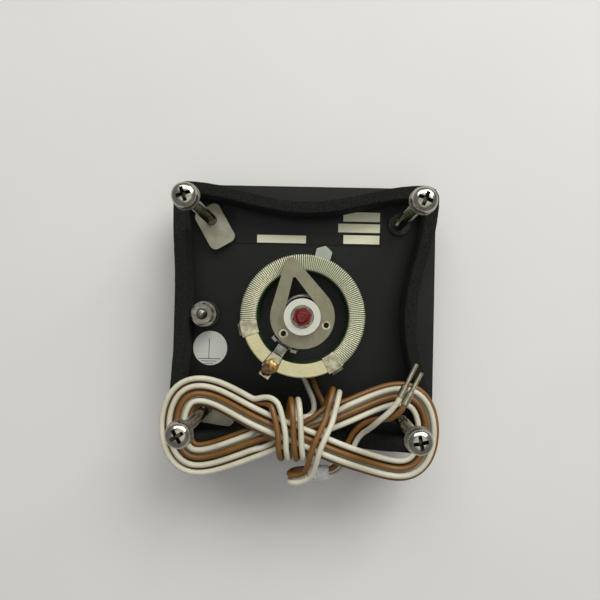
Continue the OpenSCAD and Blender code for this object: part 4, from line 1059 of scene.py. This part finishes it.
def solder_blob():
    """Sealed solder that has run over the band of the centre terminal and down to its lug."""
    vertices, faces = [], []
    rings, sides = 20, 40
    half_len, half_w, half_h = 3.5, 2.5, 1.25
    for i in range(rings + 1):
        rise = math.pi * i / rings
        for k in range(sides):
            a = 2 * math.pi * k / sides
            along = math.sin(rise) * math.cos(a)
            across = math.sin(rise) * math.sin(a)
            lump = 1 + 0.08 * math.sin(3 * along + 2 * across + 1) + 0.05 * math.sin(7 * across - 4 * along)
            r = RING_RO + half_len * along * lump
            wide = half_w * across * lump * (1 - 0.15 * along)
            top = half_h * math.cos(rise) * lump * (1 - 0.35 * along)
            sag = 2.6 * max(0.0, (r - RING_RO - 0.4) / 3) ** 1.5
            vertices.append((r, wide, RING_TOP + 0.3 + top - sag))
    for i in range(rings):
        for k in range(sides):
            a, b = i * sides + k, i * sides + (k + 1) % sides
            faces.append((a, b, b + sides, a + sides))
    blob = piece("solder_blob", vertices, faces)
    blob.data.transform(Matrix.Rotation(math.radians(CENTRE_ANGLE), 4, "Z"))
    return blob


red = red_lacquer()
mounted(lacquer_drop(), "rotor", red, "sealed_nut")
mounted(solder_blob(), "root", solder_sealed(), "sealed_solder", "solder_joint")
dressed(nodes["hub_nut"], red)


# Table, lamps and the light round them

def table_top():
    """Plain pale table, with a faint unevenness."""
    f = Finish("table_top", roughness=0.75)
    faint = f.noise(60, 3)
    f.colour(f.mixed(faint, (0.60, 0.59, 0.565), (0.64, 0.63, 0.605)))
    f.bump(f.noise(1.2, 4), 0.02)
    return f.material


corners = [(x, y, 0) for x, y in ((-900, -900), (900, -900), (900, 900), (-900, 900))]
floor = piece("table", corners, [(0, 1, 2, 3)], False)
dressed(floor, table_top())


def lamp(name, place, aim, size, power, colour):
    """A soft square light at a place in metres, turned to what it lights."""
    data = bpy.data.lights.new(name, "AREA")
    data.shape = "RECTANGLE"
    data.size, data.size_y = size
    data.energy = power
    data.color = colour
    thing = bpy.data.objects.new(name, data)
    bpy.context.scene.collection.objects.link(thing)
    thing.location = Vector(place)
    thing.rotation_euler = (Vector(aim) - Vector(place)).to_track_quat("-Z", "Y").to_euler()


lamp("window", (0.55, 0.75, 0.85), (0, 0, 0.03), (0.7, 0.7), 11.0, (1.0, 0.985, 0.95))
lamp("second_window", (-0.15, 1.05, 1.15), (0, 0, 0), (1.3, 0.7), 10.0, (1.0, 0.99, 0.97))
lamp("ceiling", (0.1, -0.1, 1.3), (0, 0, 0), (1.2, 1.2), 3.6, (1.0, 0.99, 0.97))
world = bpy.data.worlds.new("room")
bpy.context.scene.world = world
world.use_nodes = True
world.node_tree.nodes["Background"].inputs["Color"].default_value = (0.86, 0.88, 0.9, 1)
world.node_tree.nodes["Background"].inputs["Strength"].default_value = 0.27

bpy.context.scene.view_settings.view_transform = "Standard"
